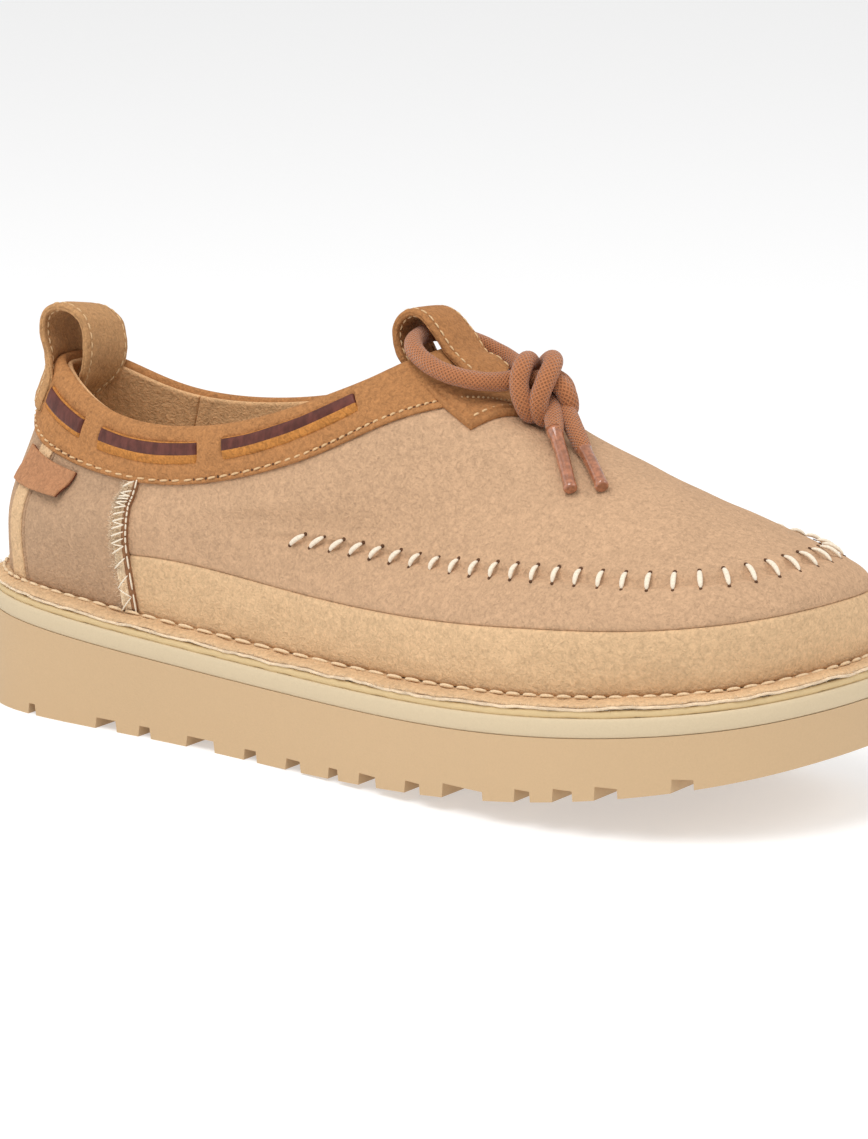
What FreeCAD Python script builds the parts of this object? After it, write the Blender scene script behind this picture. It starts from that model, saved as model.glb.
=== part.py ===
import FreeCAD, Part
import math
import os
import Sketcher
from FreeCAD import Placement, Rotation, Vector

# A right slip-on moccasin with a turned-out (stitch-down) flange on a foam platform sole.
# Millimetres. +X runs from heel to toe, -Y is the lateral side, +Z is up, and the floor is z = 0.
# The origin is the middle of the sole, on the floor.
# Each part is drawn in a local frame whose XZ plane halves the heel, and is then placed with CENTRING.

doc = FreeCAD.newDocument("moccasin")
sheet = doc.addObject("Spreadsheet::Sheet", "Sizes")

SIZES = [
    ("sole_length", 300), ("heel_thick", 31.5), ("waist_thick", 23), ("toe_thick", 36.8),
    ("rocker_start", -38), ("toe_spring", 23), ("lug_depth", 3.4),
    ("midsole_thick", 5.7), ("board_thick", 2.2), ("flange_thick", 2.2), ("flange_width", 8),
    ("footbed_thick", 7), ("pile_thick", 3.5), ("footbed_inset", 17.5),
    ("leather_thick", 1.8), ("lining_start", 3.4), ("lining_thick", 4.5), ("lining_rim", 1.8),
    ("strap_thick", 2.4), ("heel_loop_width", 24), ("tongue_loop_width", 18),
    ("cord_dia", 5.5), ("knot_length", 20), ("knot_width", 18), ("knot_height", 15.4),
    ("aglet_dia", 4.2), ("aglet_rounding", 0.6), ("lace_thick", 1.2),
    ("blank_width", 170), ("trim_depth", 600),
]
for row, (alias, value) in enumerate(SIZES, start=1):
    sheet.set(f"A{row}", alias)
    sheet.set(f"B{row}", str(value))
    sheet.setAlias(f"B{row}", alias)
doc.recompute()


def size(alias):
    return float(sheet.get(alias))


HALF = size("sole_length") / 2
CENTRING = Vector(0, 3, 0)
OVERRUN = 10
SETTLING_ROUNDS = 40

# ---------------------------------------------------------------- outline and levels of the sole

# Heel centre, down the lateral side, round the toe, and back along the medial side.
SOLE_OUTLINE = [
    (-150, 0), (-141, -25), (-113, -34.5), (-70, -36.5), (-20, -42), (30, -51.5),
    (72, -56), (108, -51), (137, -32), (150, 4), (143, 31), (118, 45.5),
    (80, 50), (35, 45), (-20, 38), (-70, 36), (-113, 35), (-140, 24),
]
FEATHER = [
    (-145.5, 0), (-137.5, -21), (-112, -27), (-70, -29), (-19, -35), (31, -44),
    (72, -49), (106, -44), (131, -28), (143, 5), (137, 26), (116, 38),
    (80, 43), (36, 38), (-19, 31), (-70, 29), (-112, 28), (-137.5, 21),
]


def outsole_top(x):
    share = x / HALF
    tilt = (size("toe_thick") - size("heel_thick")) / 2
    bow = (size("toe_thick") + size("heel_thick")) / 2 - size("waist_thick")
    return size("waist_thick") + tilt * share + bow * share * share


BOARD_TOP = size("midsole_thick") + size("board_thick")
FLANGE_TOP = BOARD_TOP + size("flange_thick")


class ClosedCurve:
    """The smooth closed cubic through the points, one unit of parameter per point."""

    def __init__(self, points):
        targets = [Vector(*p) for p in points]
        self.count = len(targets)
        poles = targets
        for _ in range(SETTLING_ROUNDS):
            poles = [
                (target * 6 - poles[n - 1] - poles[(n + 1) % self.count]) / 4
                for n, target in enumerate(targets)
            ]
        self.poles = poles

    def value(self, place):
        whole = math.floor(place)
        part = place - whole
        near = [self.poles[(whole + k) % self.count] for k in (-1, 0, 1, 2)]
        weights = [
            (1 - part) ** 3,
            3 * part ** 3 - 6 * part ** 2 + 4,
            -3 * part ** 3 + 3 * part ** 2 + 3 * part + 1,
            part ** 3,
        ]
        total = Vector()
        for pole, weight in zip(near, weights):
            total += pole * (weight / 6)
        return total

    def tangent(self, place):
        step = 0.001
        return (self.value(place + step) - self.value(place - step)).normalize()

    def edge_curve(self):
        """The same curve as sketch geometry."""
        curve = Part.BSplineCurve()
        curve.buildFromPolesMultsKnots(self.poles, periodic=True, degree=3)
        return curve


def inset_outline(distance):
    """The sole's outline moved inwards by the distance, as a closed curve."""
    curve = ClosedCurve([(x, y, 0) for x, y in SOLE_OUTLINE])
    moved = []
    for station in range(len(SOLE_OUTLINE)):
        along = curve.tangent(station)
        inward = Vector(-along.y, along.x, 0)
        moved.append(curve.value(station) + inward * distance)
    return ClosedCurve(moved).edge_curve()


# ---------------------------------------------------------------- PartDesign helpers

def origin_plane(body, role):
    return next(f for f in body.Origin.OriginFeatures if f.Role == role)


def new_body(label):
    body = doc.addObject("PartDesign::Body", label)
    body.Label = label
    return body


def new_sketch(body, name, role, geometry):
    sketch = body.newObject("Sketcher::SketchObject", name)
    sketch.AttachmentSupport = [(origin_plane(body, role), "")]
    sketch.MapMode = "FlatFace"
    sketch.addGeometry(geometry, False)
    return sketch


def pad_both_ways(body, sketch, name, width_alias):
    pad = body.newObject("PartDesign::Pad", name)
    pad.Profile = sketch
    pad.Midplane = True
    pad.setExpression("Length", "Sizes." + width_alias)
    return pad


def cut_both_ways(body, sketch, name):
    doc.recompute()
    before = body.Shape.Volume
    pocket = body.newObject("PartDesign::Pocket", name)
    pocket.Profile = sketch
    pocket.Midplane = True
    pocket.Type = "Length"
    pocket.setExpression("Length", "Sizes.trim_depth")
    doc.recompute()
    if not pocket.Shape.Volume < before:
        raise RuntimeError(f"{name} cut nothing")
    return pocket


def segments(points):
    """Straight edges through the (x, y) points of a sketch, closed."""
    vectors = [Vector(x, y, 0) for x, y in points]
    return [Part.LineSegment(a, b) for a, b in zip(vectors, vectors[1:] + vectors[:1])]


def top_arc(rise, reach):
    """The shallow arc of a layer's surface, in the side view, out to x = -reach and reach."""
    ends = [Vector(x, outsole_top(x) + rise, 0) for x in (-reach, 0, reach)]
    return Part.Arc(*ends)


def layer(label, low, high, inset, opening=None):
    """A sheet of the sole between two heights over the outsole, trimmed to an inset outline."""
    body = new_body(label)
    reach = HALF + OVERRUN
    under = top_arc(low, reach)
    over = top_arc(high, reach)
    sides = [
        Part.LineSegment(Vector(x, outsole_top(x) + low, 0), Vector(x, outsole_top(x) + high, 0))
        for x in (-reach, reach)
    ]
    profile = new_sketch(body, label + "_profile", "XZ_Plane", [under, over] + sides)
    pad_both_ways(body, profile, label + "_pad", "blank_width")
    trim_to_outline(body, label, inset)
    if opening is not None:
        inner = new_sketch(body, label + "_inner", "XY_Plane", [opening])
        cut_both_ways(body, inner, label + "_opening")
    return body


def trim_to_outline(body, label, inset):
    long = size("sole_length")
    wide = size("blank_width")
    frame = segments([(-long, -wide), (long, -wide), (long, wide), (-long, wide)])
    trim = new_sketch(body, label + "_outline", "XY_Plane", frame + [inset_outline(inset)])
    cut_both_ways(body, trim, label + "_trim")


# ---------------------------------------------------------------- the sole unit

# Middle and width of each groove that crosses the tread.
GROOVES = [
    (-143.5, 5), (-120, 4), (-90, 9), (-75, 5.5), (-53, 12), (-33, 6), (-15.5, 7), (1, 5),
    (15, 8), (33, 7), (52, 16), (73, 6.5), (86, 7.5), (99, 8), (119.5, 7),
]
GROOVE_FLARE = 0.5
GROOVE_TAPER = 0.8
UNDER_FLOOR = 5


def tread_height(x):
    run = HALF - size("rocker_start")
    share = max(0.0, (x - size("rocker_start")) / run)
    return size("toe_spring") * share * share


def make_outsole():
    body = new_body("outsole")
    reach = HALF + OVERRUN
    start = size("rocker_start")
    floor = Part.LineSegment(Vector(-reach, 0, 0), Vector(start, 0, 0))
    rocker = Part.Arc(
        Vector(start, 0, 0),
        Vector((start + reach) / 2, tread_height((start + reach) / 2), 0),
        Vector(reach, tread_height(reach), 0),
    )
    sides = [
        Part.LineSegment(Vector(-reach, 0, 0), Vector(-reach, outsole_top(-reach), 0)),
        Part.LineSegment(Vector(reach, tread_height(reach), 0), Vector(reach, outsole_top(reach), 0)),
    ]
    profile = new_sketch(body, "outsole_profile", "XZ_Plane", [floor, rocker, top_arc(0, reach)] + sides)
    pad_both_ways(body, profile, "outsole_pad", "blank_width")
    trim_to_outline(body, "outsole", 0)
    grooves = []
    for middle, width in GROOVES:
        top = tread_height(middle) + size("lug_depth")
        mouth = width / 2 + GROOVE_FLARE
        root = width / 2 - GROOVE_TAPER
        grooves += segments([
            (middle - mouth, -UNDER_FLOOR), (middle + mouth, -UNDER_FLOOR),
            (middle + root, top), (middle - root, top),
        ])
    tread = new_sketch(body, "outsole_tread", "XZ_Plane", grooves)
    cut_both_ways(body, tread, "outsole_grooves")
    return body


# ---------------------------------------------------------------- surface of the upper

def mirrored(point):
    return (point[0], -point[1], point[2])


def full_ring(lateral, medial):
    """Ten lateral stations from heel to toe, four medial ones from the toe back, and the rest mirrored."""
    rear = [mirrored(lateral[n]) for n in (4, 3, 2, 1)]
    return lateral + medial + rear


FOXING_RING = full_ring(
    [(-144.5, 0, 51), (-138, -21, 51), (-113, -29, 51), (-72, -31, 54), (-20, -36.5, 52),
     (31, -46, 53), (71, -50.5, 56.5), (106, -48, 60), (134, -30, 63.5), (143.5, 2, 64.5)],
    [(137.5, 26, 63.5), (113, 43.5, 62), (75, 47, 59), (33, 41.5, 55)],
)
APRON_RING = full_ring(
    [(-144, 0, 61), (-138, -20.5, 60), (-112.5, -29.5, 60), (-72, -31.5, 62), (-20, -33, 67),
     (28, -36.5, 67), (66, -40, 69.5), (98, -39, 71), (124, -26, 73.5), (132.5, 2, 74.5)],
    [(125, 23, 72.5), (102, 33, 73), (70, 36.5, 71.5), (28, 33.5, 69)],
)
CROWN_RING = full_ring(
    [(-142, 0, 73), (-135, -18.5, 71), (-111, -27, 68), (-73, -30.5, 69), (-30, -33, 75),
     (5, -32, 80), (36, -28, 85), (62, -21, 90), (79, -11, 91), (86, 2, 90)],
    [(80, 13, 89.5), (64, 21, 88), (36, 27, 84.5), (5, 30, 80)],
)
BAND_RING = full_ring(
    [(-138, 0, 88), (-130.5, -15, 82), (-107, -23.5, 76.5), (-73, -28.5, 76), (-38, -31, 83.5),
     (-12, -30, 93.5), (8, -25.5, 103.5), (24, -17, 108.5), (33, -9, 108), (36.5, 0, 106)],
    [(33, 9, 108), (24, 17, 108.5), (8, 25.5, 103.5), (-12, 30, 93.5)],
)
TOPLINE_RING = full_ring(
    [(-130.5, 0, 105), (-122.5, -12, 103), (-101, -21, 94.5), (-71, -27, 93), (-42, -28, 98.5),
     (-19, -25.5, 107), (-4, -19.5, 114), (5, -13, 119), (11, -7, 121.5), (13, 0, 122.5)],
    [(11, 7, 121.5), (5, 13, 119), (-4, 19.5, 114), (-19, 25.5, 107)],
)
FEATHER_RING = [(x, y, outsole_top(x) + FLANGE_TOP) for x, y in FEATHER]
STATIONS = len(FEATHER_RING)

# Share of the way up the upper at which each ring lies.
FOXING_UP = 0.16
APRON_UP = 0.32
CROWN_UP = 0.56
BAND_UP = 0.82
LEVELS = [0, FOXING_UP, APRON_UP, CROWN_UP, BAND_UP, 1]
RINGS = [
    ClosedCurve(ring)
    for ring in (FEATHER_RING, FOXING_RING, APRON_RING, CROWN_RING, BAND_RING, TOPLINE_RING)
]


def rib_bends(points):
    """Second derivatives of the natural cubic through the points at LEVELS."""
    last = len(LEVELS) - 1
    bends = [Vector()] * (last + 1)
    held = [(0.0, Vector())]
    for n in range(1, last):
        before = LEVELS[n] - LEVELS[n - 1]
        after = LEVELS[n + 1] - LEVELS[n]
        turn = ((points[n + 1] - points[n]) / after - (points[n] - points[n - 1]) / before) * 6
        weight = 2 * (before + after) - before * held[-1][0]
        held.append((after / weight, (turn - held[-1][1] * before) / weight))
    for n in range(last - 1, 0, -1):
        bends[n] = held[n][1] - bends[n + 1] * held[n][0]
    return bends


def upper_point(station, up):
    """The point of the upper's outer surface at a station round the shoe and a share of the way up."""
    points = [ring.value(station) for ring in RINGS]
    bends = rib_bends(points)
    n = max(k for k in range(len(LEVELS) - 1) if LEVELS[k] <= up + 1e-9)
    gap = LEVELS[n + 1] - LEVELS[n]
    high = (up - LEVELS[n]) / gap
    low = 1 - high
    curve = bends[n] * (low ** 3 - low) + bends[n + 1] * (high ** 3 - high)
    return points[n] * low + points[n + 1] * high + curve * (gap * gap / 6)


def upper_normal(station, up):
    step = 0.01
    floor = max(0.0, up - step)
    roof = min(1.0, up + step)
    along = upper_point(station + step, up) - upper_point(station - step, up)
    rise = upper_point(station, roof) - upper_point(station, floor)
    return along.cross(rise).normalize()


def offset_point(station, up, out):
    return upper_point(station, up) + upper_normal(station, up) * out


def constant_or(value, *place):
    return value(*place) if callable(value) else value


def end_heavy(count):
    """Multiplicities and knots of a cubic with this many poles that ends on its first and last."""
    spans = count - 3
    return [4] + [1] * (spans - 1) + [4], [n / spans for n in range(spans + 1)]


def draped_surface(rows):
    """A cubic surface that follows a fine grid of points."""
    surface = Part.BSplineSurface()
    u_mults, u_knots = end_heavy(len(rows))
    v_mults, v_knots = end_heavy(len(rows[0]))
    surface.buildFromPolesMultsKnots(rows, u_mults, v_mults, u_knots, v_knots, False, False, 3, 3)
    return surface


def side_face(first, second):
    return Part.makeRuledSurface(first.toShape(), second.toShape())


def panel(start, stop, low, high, out, inner, across=0, rows=5):
    """A solid sheet on the upper, between two stations and two heights, from inner to out off it."""
    across = across or max(6, round((stop - start) * 8))
    outer_rows = []
    inner_rows = []
    for i in range(across + 1):
        station = start + (stop - start) * i / across
        bottom = constant_or(low, station)
        top = constant_or(high, station)
        heights = [bottom + (top - bottom) * j / rows for j in range(rows + 1)]
        outer_rows.append([offset_point(station, up, constant_or(out, station, up)) for up in heights])
        inner_rows.append([offset_point(station, up, constant_or(inner, station, up)) for up in heights])
    outside = draped_surface(outer_rows)
    inside = draped_surface(inner_rows)
    faces = [outside.toShape(), inside.toShape()]
    for bound in outside.bounds()[:2]:
        faces.append(side_face(outside.uIso(bound), inside.uIso(bound)))
    for bound in outside.bounds()[2:]:
        faces.append(side_face(outside.vIso(bound), inside.vIso(bound)))
    shell = Part.makeShell(faces)
    shell.sewShape()
    solid = Part.Solid(shell)
    if solid.Volume < 0:
        solid.reverse()
    return solid


def feature(label, shape):
    item = doc.addObject("Part::Feature", label)
    item.Label = label
    item.Shape = shape
    item.Placement = Placement()
    return item


# ---------------------------------------------------------------- leather, seams and lining

LATERAL_SEAM = 2.66
MEDIAL_SEAM = STATIONS - LATERAL_SEAM
BACK_STAY = 1.4
SEAM_GAP = 0.01
SKIN = -size("leather_thick")
LOW = 0.008
UNDER_BAND = BAND_UP - 0.005
SEAM_HALF = 0.13
COUNTER_GAP = 0.15


def leather(label, start, stop, low, high, **counts):
    return feature(label, panel(start + SEAM_GAP, stop - SEAM_GAP, low, high, 0, SKIN, **counts))


def make_leather():
    leather("heel_strip", -BACK_STAY, BACK_STAY, LOW, UNDER_BAND, rows=12)
    leather("lateral_quarter", BACK_STAY, LATERAL_SEAM, LOW, UNDER_BAND, rows=12)
    leather("medial_quarter", MEDIAL_SEAM, STATIONS - BACK_STAY, LOW, UNDER_BAND, rows=12)
    leather("vamp", LATERAL_SEAM, MEDIAL_SEAM, FOXING_UP + 0.003, UNDER_BAND, rows=16)
    leather("foxing", LATERAL_SEAM, MEDIAL_SEAM, LOW, FOXING_UP - 0.003, rows=5)
    for side, middle in (("lateral", LATERAL_SEAM), ("medial", MEDIAL_SEAM)):
        ends = (middle - SEAM_HALF, middle + SEAM_HALF)
        strip = panel(*ends, 0.02, UNDER_BAND - 0.005, 1.7, 0.2, across=4, rows=12)
        feature(side + "_side_seam", strip)


def lining_inner(station, up):
    """The pile thins towards the topline."""
    thick = size("lining_thick") + (size("lining_rim") - size("lining_thick")) * up ** 4
    return -size("lining_start") - thick


def make_lining():
    skin = -size("lining_start")
    edges = [
        ("heel_lining", -2.2, 2.2), ("lateral_lining", 2.2, 5.5),
        ("forefoot_lining", 5.5, 12.5), ("medial_lining", 12.5, STATIONS - 2.2),
    ]
    for label, start, stop in edges:
        cover = panel(start + SEAM_GAP, stop - SEAM_GAP, LOW, 0.99, skin, lining_inner, rows=18)
        feature(label, cover)
    stiff = panel(-2.1, 2.1, 0.03, 0.6, SKIN - COUNTER_GAP, skin + COUNTER_GAP, rows=10)
    feature("heel_counter", stiff)


# Start and stop station of each stretch of lace that shows outside the collar, on the lateral side.
LACE_SHOWS = [(1.02, 1.81), (2.17, 3.38), (3.75, 5.64)]
LACE_START = 0.02
LACE_END = 6.2
LACE_MIDDLE = 0.935
LACE_HALF = 0.03
LACE_RAMP = 0.1
LACE_CLEAR = 0.25
SLOT_EASE = 0.012
SLOT_BEYOND = 0.06
BACK_GAP = 0.03


def lace_offset(station):
    """Centre of the lace off the band: outside along the shown stretches, inside between them."""
    half = size("lace_thick") / 2
    outside = LACE_CLEAR + half
    inside = SKIN - LACE_CLEAR - half
    nearest = max(min(station - a, b - station) for a, b in LACE_SHOWS)
    share = min(1.0, max(0.0, 0.5 + nearest / (2 * LACE_RAMP)))
    return inside + (outside - inside) * share


def lace_side():
    half = size("lace_thick") / 2
    return panel(
        LACE_START, LACE_END, LACE_MIDDLE - LACE_HALF, LACE_MIDDLE + LACE_HALF,
        lambda station, up: lace_offset(station) + half,
        lambda station, up: lace_offset(station) - half,
        across=120, rows=3,
    )


def make_collar():
    """The collar band, slotted where the lace dives through it, and the lace itself."""
    band = panel(BACK_GAP, STATIONS - BACK_GAP, BAND_UP + 0.005, 1, 0, SKIN, rows=6)
    low = LACE_MIDDLE - LACE_HALF - SLOT_EASE
    high = LACE_MIDDLE + LACE_HALF + SLOT_EASE
    reach = LACE_RAMP + SLOT_BEYOND
    for end in (station for pair in LACE_SHOWS for station in pair):
        slot = panel(end - reach, end + reach, low, high, 0.8, SKIN - 0.8, across=4, rows=3)
        band = band.cut(slot).cut(slot.mirror(Vector(), Vector(0, 1, 0)))
    feature("collar_band", band.Solids[0])
    lateral = lace_side()
    medial = lateral.mirror(Vector(), Vector(0, 1, 0))
    feature("whip_lace", Part.makeCompound([lateral, medial]))


# ---------------------------------------------------------------- threads

def thread(start, stop, radius):
    """One straight stitch, rounded at both ends."""
    span = stop - start
    low = Vector(0, 0, -radius)
    corner = Vector(radius, 0, 0)
    far_corner = Vector(radius, 0, span.Length)
    top = Vector(0, 0, span.Length + radius)
    slant = radius * math.sqrt(0.5)
    edges = [
        Part.Arc(low, Vector(slant, 0, -slant), corner).toShape(),
        Part.LineSegment(corner, far_corner).toShape(),
        Part.Arc(far_corner, Vector(slant, 0, span.Length + slant), top).toShape(),
        Part.LineSegment(top, low).toShape(),
    ]
    rod = Part.Face(Part.Wire(edges)).revolve(Vector(), Vector(0, 0, 1), 360)
    rod.Placement = Placement(start, Rotation(Vector(0, 0, 1), span))
    return rod


APRON_FIRST = 4.0
APRON_PITCHES = 56
APRON_RADIUS = 0.8
APRON_LEAN = 0.045
APRON_BELOW = 0.022
APRON_ABOVE = 0.024
WELT_STITCHES = 120
WELT_RADIUS = 0.6
WELT_HALF = 0.055
WELT_OUT = 1.75
WELT_RISE = 1.8
COLLAR_FIRST = 0.25
COLLAR_PITCHES = 128
COLLAR_RADIUS = 0.35
COLLAR_HALF = 0.038
COLLAR_ROW = BAND_UP + 0.02
TOE_STATION = STATIONS / 2
PATCH_HALF = 2.2


def apron_stitches():
    """Slanted stitches over the apron's groove, leaning towards the toe."""
    rods = []
    for n in range(APRON_PITCHES + 1):
        station = APRON_FIRST + (STATIONS - 2 * APRON_FIRST) * n / APRON_PITCHES
        lean = APRON_LEAN * max(-1.0, min(1.0, TOE_STATION - station))
        low = offset_point(station - lean, APRON_UP - APRON_BELOW, APRON_RADIUS + 0.2)
        high = offset_point(station + lean, APRON_UP + APRON_ABOVE, APRON_RADIUS + 0.2)
        rods.append(thread(low, high, APRON_RADIUS))
    return rods


def welt_stitches():
    """The seam that holds the upper to the flange, in the crease."""
    rods = []
    for n in range(WELT_STITCHES):
        station = STATIONS * n / WELT_STITCHES
        ends = [
            offset_point(station + along, 0.0, WELT_OUT) + Vector(0, 0, WELT_RISE)
            for along in (-WELT_HALF, WELT_HALF)
        ]
        rods.append(thread(*ends, WELT_RADIUS))
    return rods


def collar_stitches():
    """The row along the collar's lower edge, left out where the patch covers it."""
    rods = []
    for n in range(COLLAR_PITCHES + 1):
        station = COLLAR_FIRST + (STATIONS - 2 * COLLAR_FIRST) * n / COLLAR_PITCHES
        if abs(station - TOE_STATION) < PATCH_HALF + COLLAR_HALF:
            continue
        ends = [
            offset_point(station + along, COLLAR_ROW, COLLAR_RADIUS + 0.25)
            for along in (-COLLAR_HALF, COLLAR_HALF)
        ]
        rods.append(thread(*ends, COLLAR_RADIUS))
    return rods


# ---------------------------------------------------------------- loops, patch and label

def bend_edges(points, radii, side):
    """Edges along one face of a strap whose centre line bends at the points with the given radii."""
    vectors = [Vector(x, z, 0) for x, z in points]
    runs = [(b - a).normalize() for a, b in zip(vectors, vectors[1:])]
    edges = []
    at = vectors[0] + Vector(-runs[0].y, runs[0].x, 0) * side
    for n, radius in enumerate(radii, start=1):
        before = runs[n - 1]
        after = runs[n]
        turn = math.atan2(before.x * after.y - before.y * after.x, before.dot(after))
        sense = math.copysign(1, turn)
        bevel = radius * math.tan(abs(turn) / 2)
        centre = vectors[n] - before * bevel + Vector(-before.y, before.x, 0) * radius * sense
        reach = radius - side * sense
        spokes = [Vector(d.y, -d.x, 0) * sense for d in (before, (before + after).normalize(), after)]
        arc = [centre + spoke * reach for spoke in spokes]
        edges.append(Part.LineSegment(at, arc[0]))
        edges.append(Part.Arc(*arc))
        at = arc[2]
    end = vectors[-1] + Vector(-runs[-1].y, runs[-1].x, 0) * side
    edges.append(Part.LineSegment(at, end))
    return edges


def strap(label, points, radii, width_alias):
    """A flat strap bent in the side view, symmetric about the shoe's middle plane."""
    body = new_body(label)
    half = size("strap_thick") / 2
    left = bend_edges(points, radii, half)
    right = bend_edges(points, radii, -half)
    ends = [
        Part.LineSegment(left[0].StartPoint, right[0].StartPoint),
        Part.LineSegment(left[-1].EndPoint, right[-1].EndPoint),
    ]
    profile = new_sketch(body, label + "_profile", "XZ_Plane", left + right + ends)
    pad_both_ways(body, profile, label + "_pad", width_alias)


HEEL_LOOP_PATH = [(-131.4, 107.4), (-132.8, 119.4), (-115.4, 119.4), (-116.4, 107.4)]
TONGUE_LOOP_PATH = [(20.5, 119.6), (8.5, 133.2), (-3, 135.4), (-5.2, 125.5), (-1.2, 116)]


def make_loops():
    strap("heel_loop", HEEL_LOOP_PATH, [7.5, 7.5], "heel_loop_width")
    strap("tongue_loop", TONGUE_LOOP_PATH, [5, 5, 6], "tongue_loop_width")
    outer_tab = panel(-0.95, 0.95, 0.9, 0.995, 2.6, 0.3, across=16, rows=4)
    inner_tab = panel(-0.8, 0.8, 0.88, 0.985, -6.6, -8.6, across=16, rows=4)
    feature("heel_loop_tabs", Part.makeCompound([outer_tab, inner_tab]))


def patch_front(station):
    """The patch's rounded front edge."""
    return 0.8 - 0.06 * ((station - TOE_STATION) / PATCH_HALF) ** 2


def make_patch_and_label():
    ends = (TOE_STATION - PATCH_HALF, TOE_STATION + PATCH_HALF)
    feature("tongue_patch", panel(*ends, patch_front, 0.9, 1.9, 0.3, across=36, rows=6))
    feature("label_tab", panel(1.04, 1.98, 0.5, 0.79, 2.4, 0.5, across=10, rows=5))


# ---------------------------------------------------------------- cord with its knot and aglets

CORD_LOOP = [
    (35, -9, 117), (28, -15.5, 118.2), (17.5, -17.8, 120.4), (7.5, -12.5, 125.2), (4.6, -3.5, 126.2),
    (4.6, 5, 126.2), (8.5, 13, 124), (17.5, 15.8, 120.2), (26, 12.8, 117.3), (33.5, 6, 116.4),
]
KNOT_CENTRE = (42.4, -1.5, 114.4)
KNOT_TILT = 20
TAIL_LATERAL = [(46.5, -6, 109.8), (50, -8.5, 106.3), (54, -12, 102.8)]
TAIL_MEDIAL = [(49.5, -2, 110.3), (55, -4.5, 105.2), (61.5, -8.5, 100.8)]
AGLET_LATERAL_TIP = (66.5, -24.5, 91.4)
AGLET_MEDIAL_TIP = (74.5, -19.5, 92.3)
ARC_SHARE = 0.45


def cord_tube(label, points, diameter):
    """A tube along straight runs joined by tangent arcs as large as the runs allow."""
    vectors = [Vector(*p) for p in points]
    edges = []
    at = vectors[0]
    radii = []
    for a, b, c in zip(vectors, vectors[1:], vectors[2:]):
        before = (b - a).normalize()
        after = (c - b).normalize()
        turn = math.acos(max(-1.0, min(1.0, before.dot(after))))
        bevel = ARC_SHARE * min((b - a).Length, (c - b).Length)
        radius = bevel / math.tan(turn / 2)
        radii.append(round(radius, 1))
        start = b - before * bevel
        stop = b + after * bevel
        centre = b + (after - before).normalize() * (radius / math.cos(turn / 2))
        middle = centre + (b - centre).normalize() * radius
        edges.append(Part.LineSegment(at, start).toShape())
        edges.append(Part.Arc(start, middle, stop).toShape())
        at = stop
    edges.append(Part.LineSegment(at, vectors[-1]).toShape())
    path = Part.Wire(edges)
    circle = Part.Circle(vectors[0], vectors[1] - vectors[0], diameter / 2)
    tube = path.makePipeShell([Part.Wire(circle.toShape())], True, False, 2)
    ideal = math.pi * diameter * diameter / 4 * path.Length
    share = round(tube.Volume / ideal, 4)
    print(label, "radii", radii, "length", round(path.Length, 1), "volume share", share)
    feature(label, tube)


def make_aglet(label, start, tip):
    """A moulded sleeve end: a straight barrel with a bevelled tip, turned about its own axis."""
    body = new_body(label)
    radius = size("aglet_dia") / 2
    length = (Vector(*tip) - Vector(*start)).Length
    bevel = size("aglet_rounding")
    corners = [(0, 0), (radius, 0), (radius, length - bevel), (radius - bevel, length), (0, length)]
    profile = new_sketch(body, label + "_profile", "XZ_Plane", segments(corners))
    count = len(corners)
    for n in range(count):
        profile.addConstraint(Sketcher.Constraint("Coincident", n, 2, (n + 1) % count, 1))
    profile.addConstraint(Sketcher.Constraint("Horizontal", 0))
    profile.addConstraint(Sketcher.Constraint("Vertical", 1))
    width = profile.addConstraint(Sketcher.Constraint("DistanceX", 0, 1, 0, 2, radius))
    profile.renameConstraint(width, "radius")
    profile.setExpression("Constraints.radius", "Sizes.aglet_dia / 2")
    turned = body.newObject("PartDesign::Revolution", label + "_turned")
    turned.Profile = profile
    turned.ReferenceAxis = (profile, ["V_Axis"])
    turned.Angle = 360
    along = Rotation(Vector(0, 0, 1), Vector(*tip) - Vector(*start))
    body.Placement = Placement(Vector(*start), along)


def make_knot():
    knot = doc.addObject("Part::Ellipsoid", "cord_knot")
    knot.Label = "cord_knot"
    knot.setExpression("Radius2", "Sizes.knot_length / 2")
    knot.setExpression("Radius3", "Sizes.knot_width / 2")
    knot.setExpression("Radius1", "Sizes.knot_height / 2")
    knot.Angle1 = -90
    knot.Angle2 = 90
    knot.Placement = Placement(Vector(*KNOT_CENTRE), Rotation(Vector(0, 1, 0), KNOT_TILT))


def make_cord():
    diameter = size("cord_dia")
    cord_tube("cord_loop", CORD_LOOP, diameter)
    make_knot()
    cord_tube("cord_tail_lateral", TAIL_LATERAL, diameter)
    cord_tube("cord_tail_medial", TAIL_MEDIAL, diameter)
    make_aglet("aglet_lateral", TAIL_LATERAL[-1], AGLET_LATERAL_TIP)
    make_aglet("aglet_medial", TAIL_MEDIAL[-1], AGLET_MEDIAL_TIP)


# ---------------------------------------------------------------- build, check and write

make_outsole()
layer("midsole", 0, size("midsole_thick"), 0)
layer("insole_board", size("midsole_thick"), BOARD_TOP, 0.8)
layer("welt_flange", BOARD_TOP, FLANGE_TOP, 0.6, opening=inset_outline(0.6 + size("flange_width") + 1))
footbed_top = BOARD_TOP + size("footbed_thick")
layer("footbed", BOARD_TOP, footbed_top, size("footbed_inset"))
layer("footbed_fleece", footbed_top, footbed_top + size("pile_thick"), size("footbed_inset"))
make_leather()
make_lining()
make_collar()
feature("apron_stitches", Part.makeCompound(apron_stitches()))
feature("welt_stitches", Part.makeCompound(welt_stitches()))
feature("collar_stitches", Part.makeCompound(collar_stitches()))
make_loops()
make_patch_and_label()
make_cord()
doc.recompute()

for item in doc.Objects:
    if {"Invalid", "Error"} & set(item.State):
        raise RuntimeError(f"{item.Name} failed: {item.State}")

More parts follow.
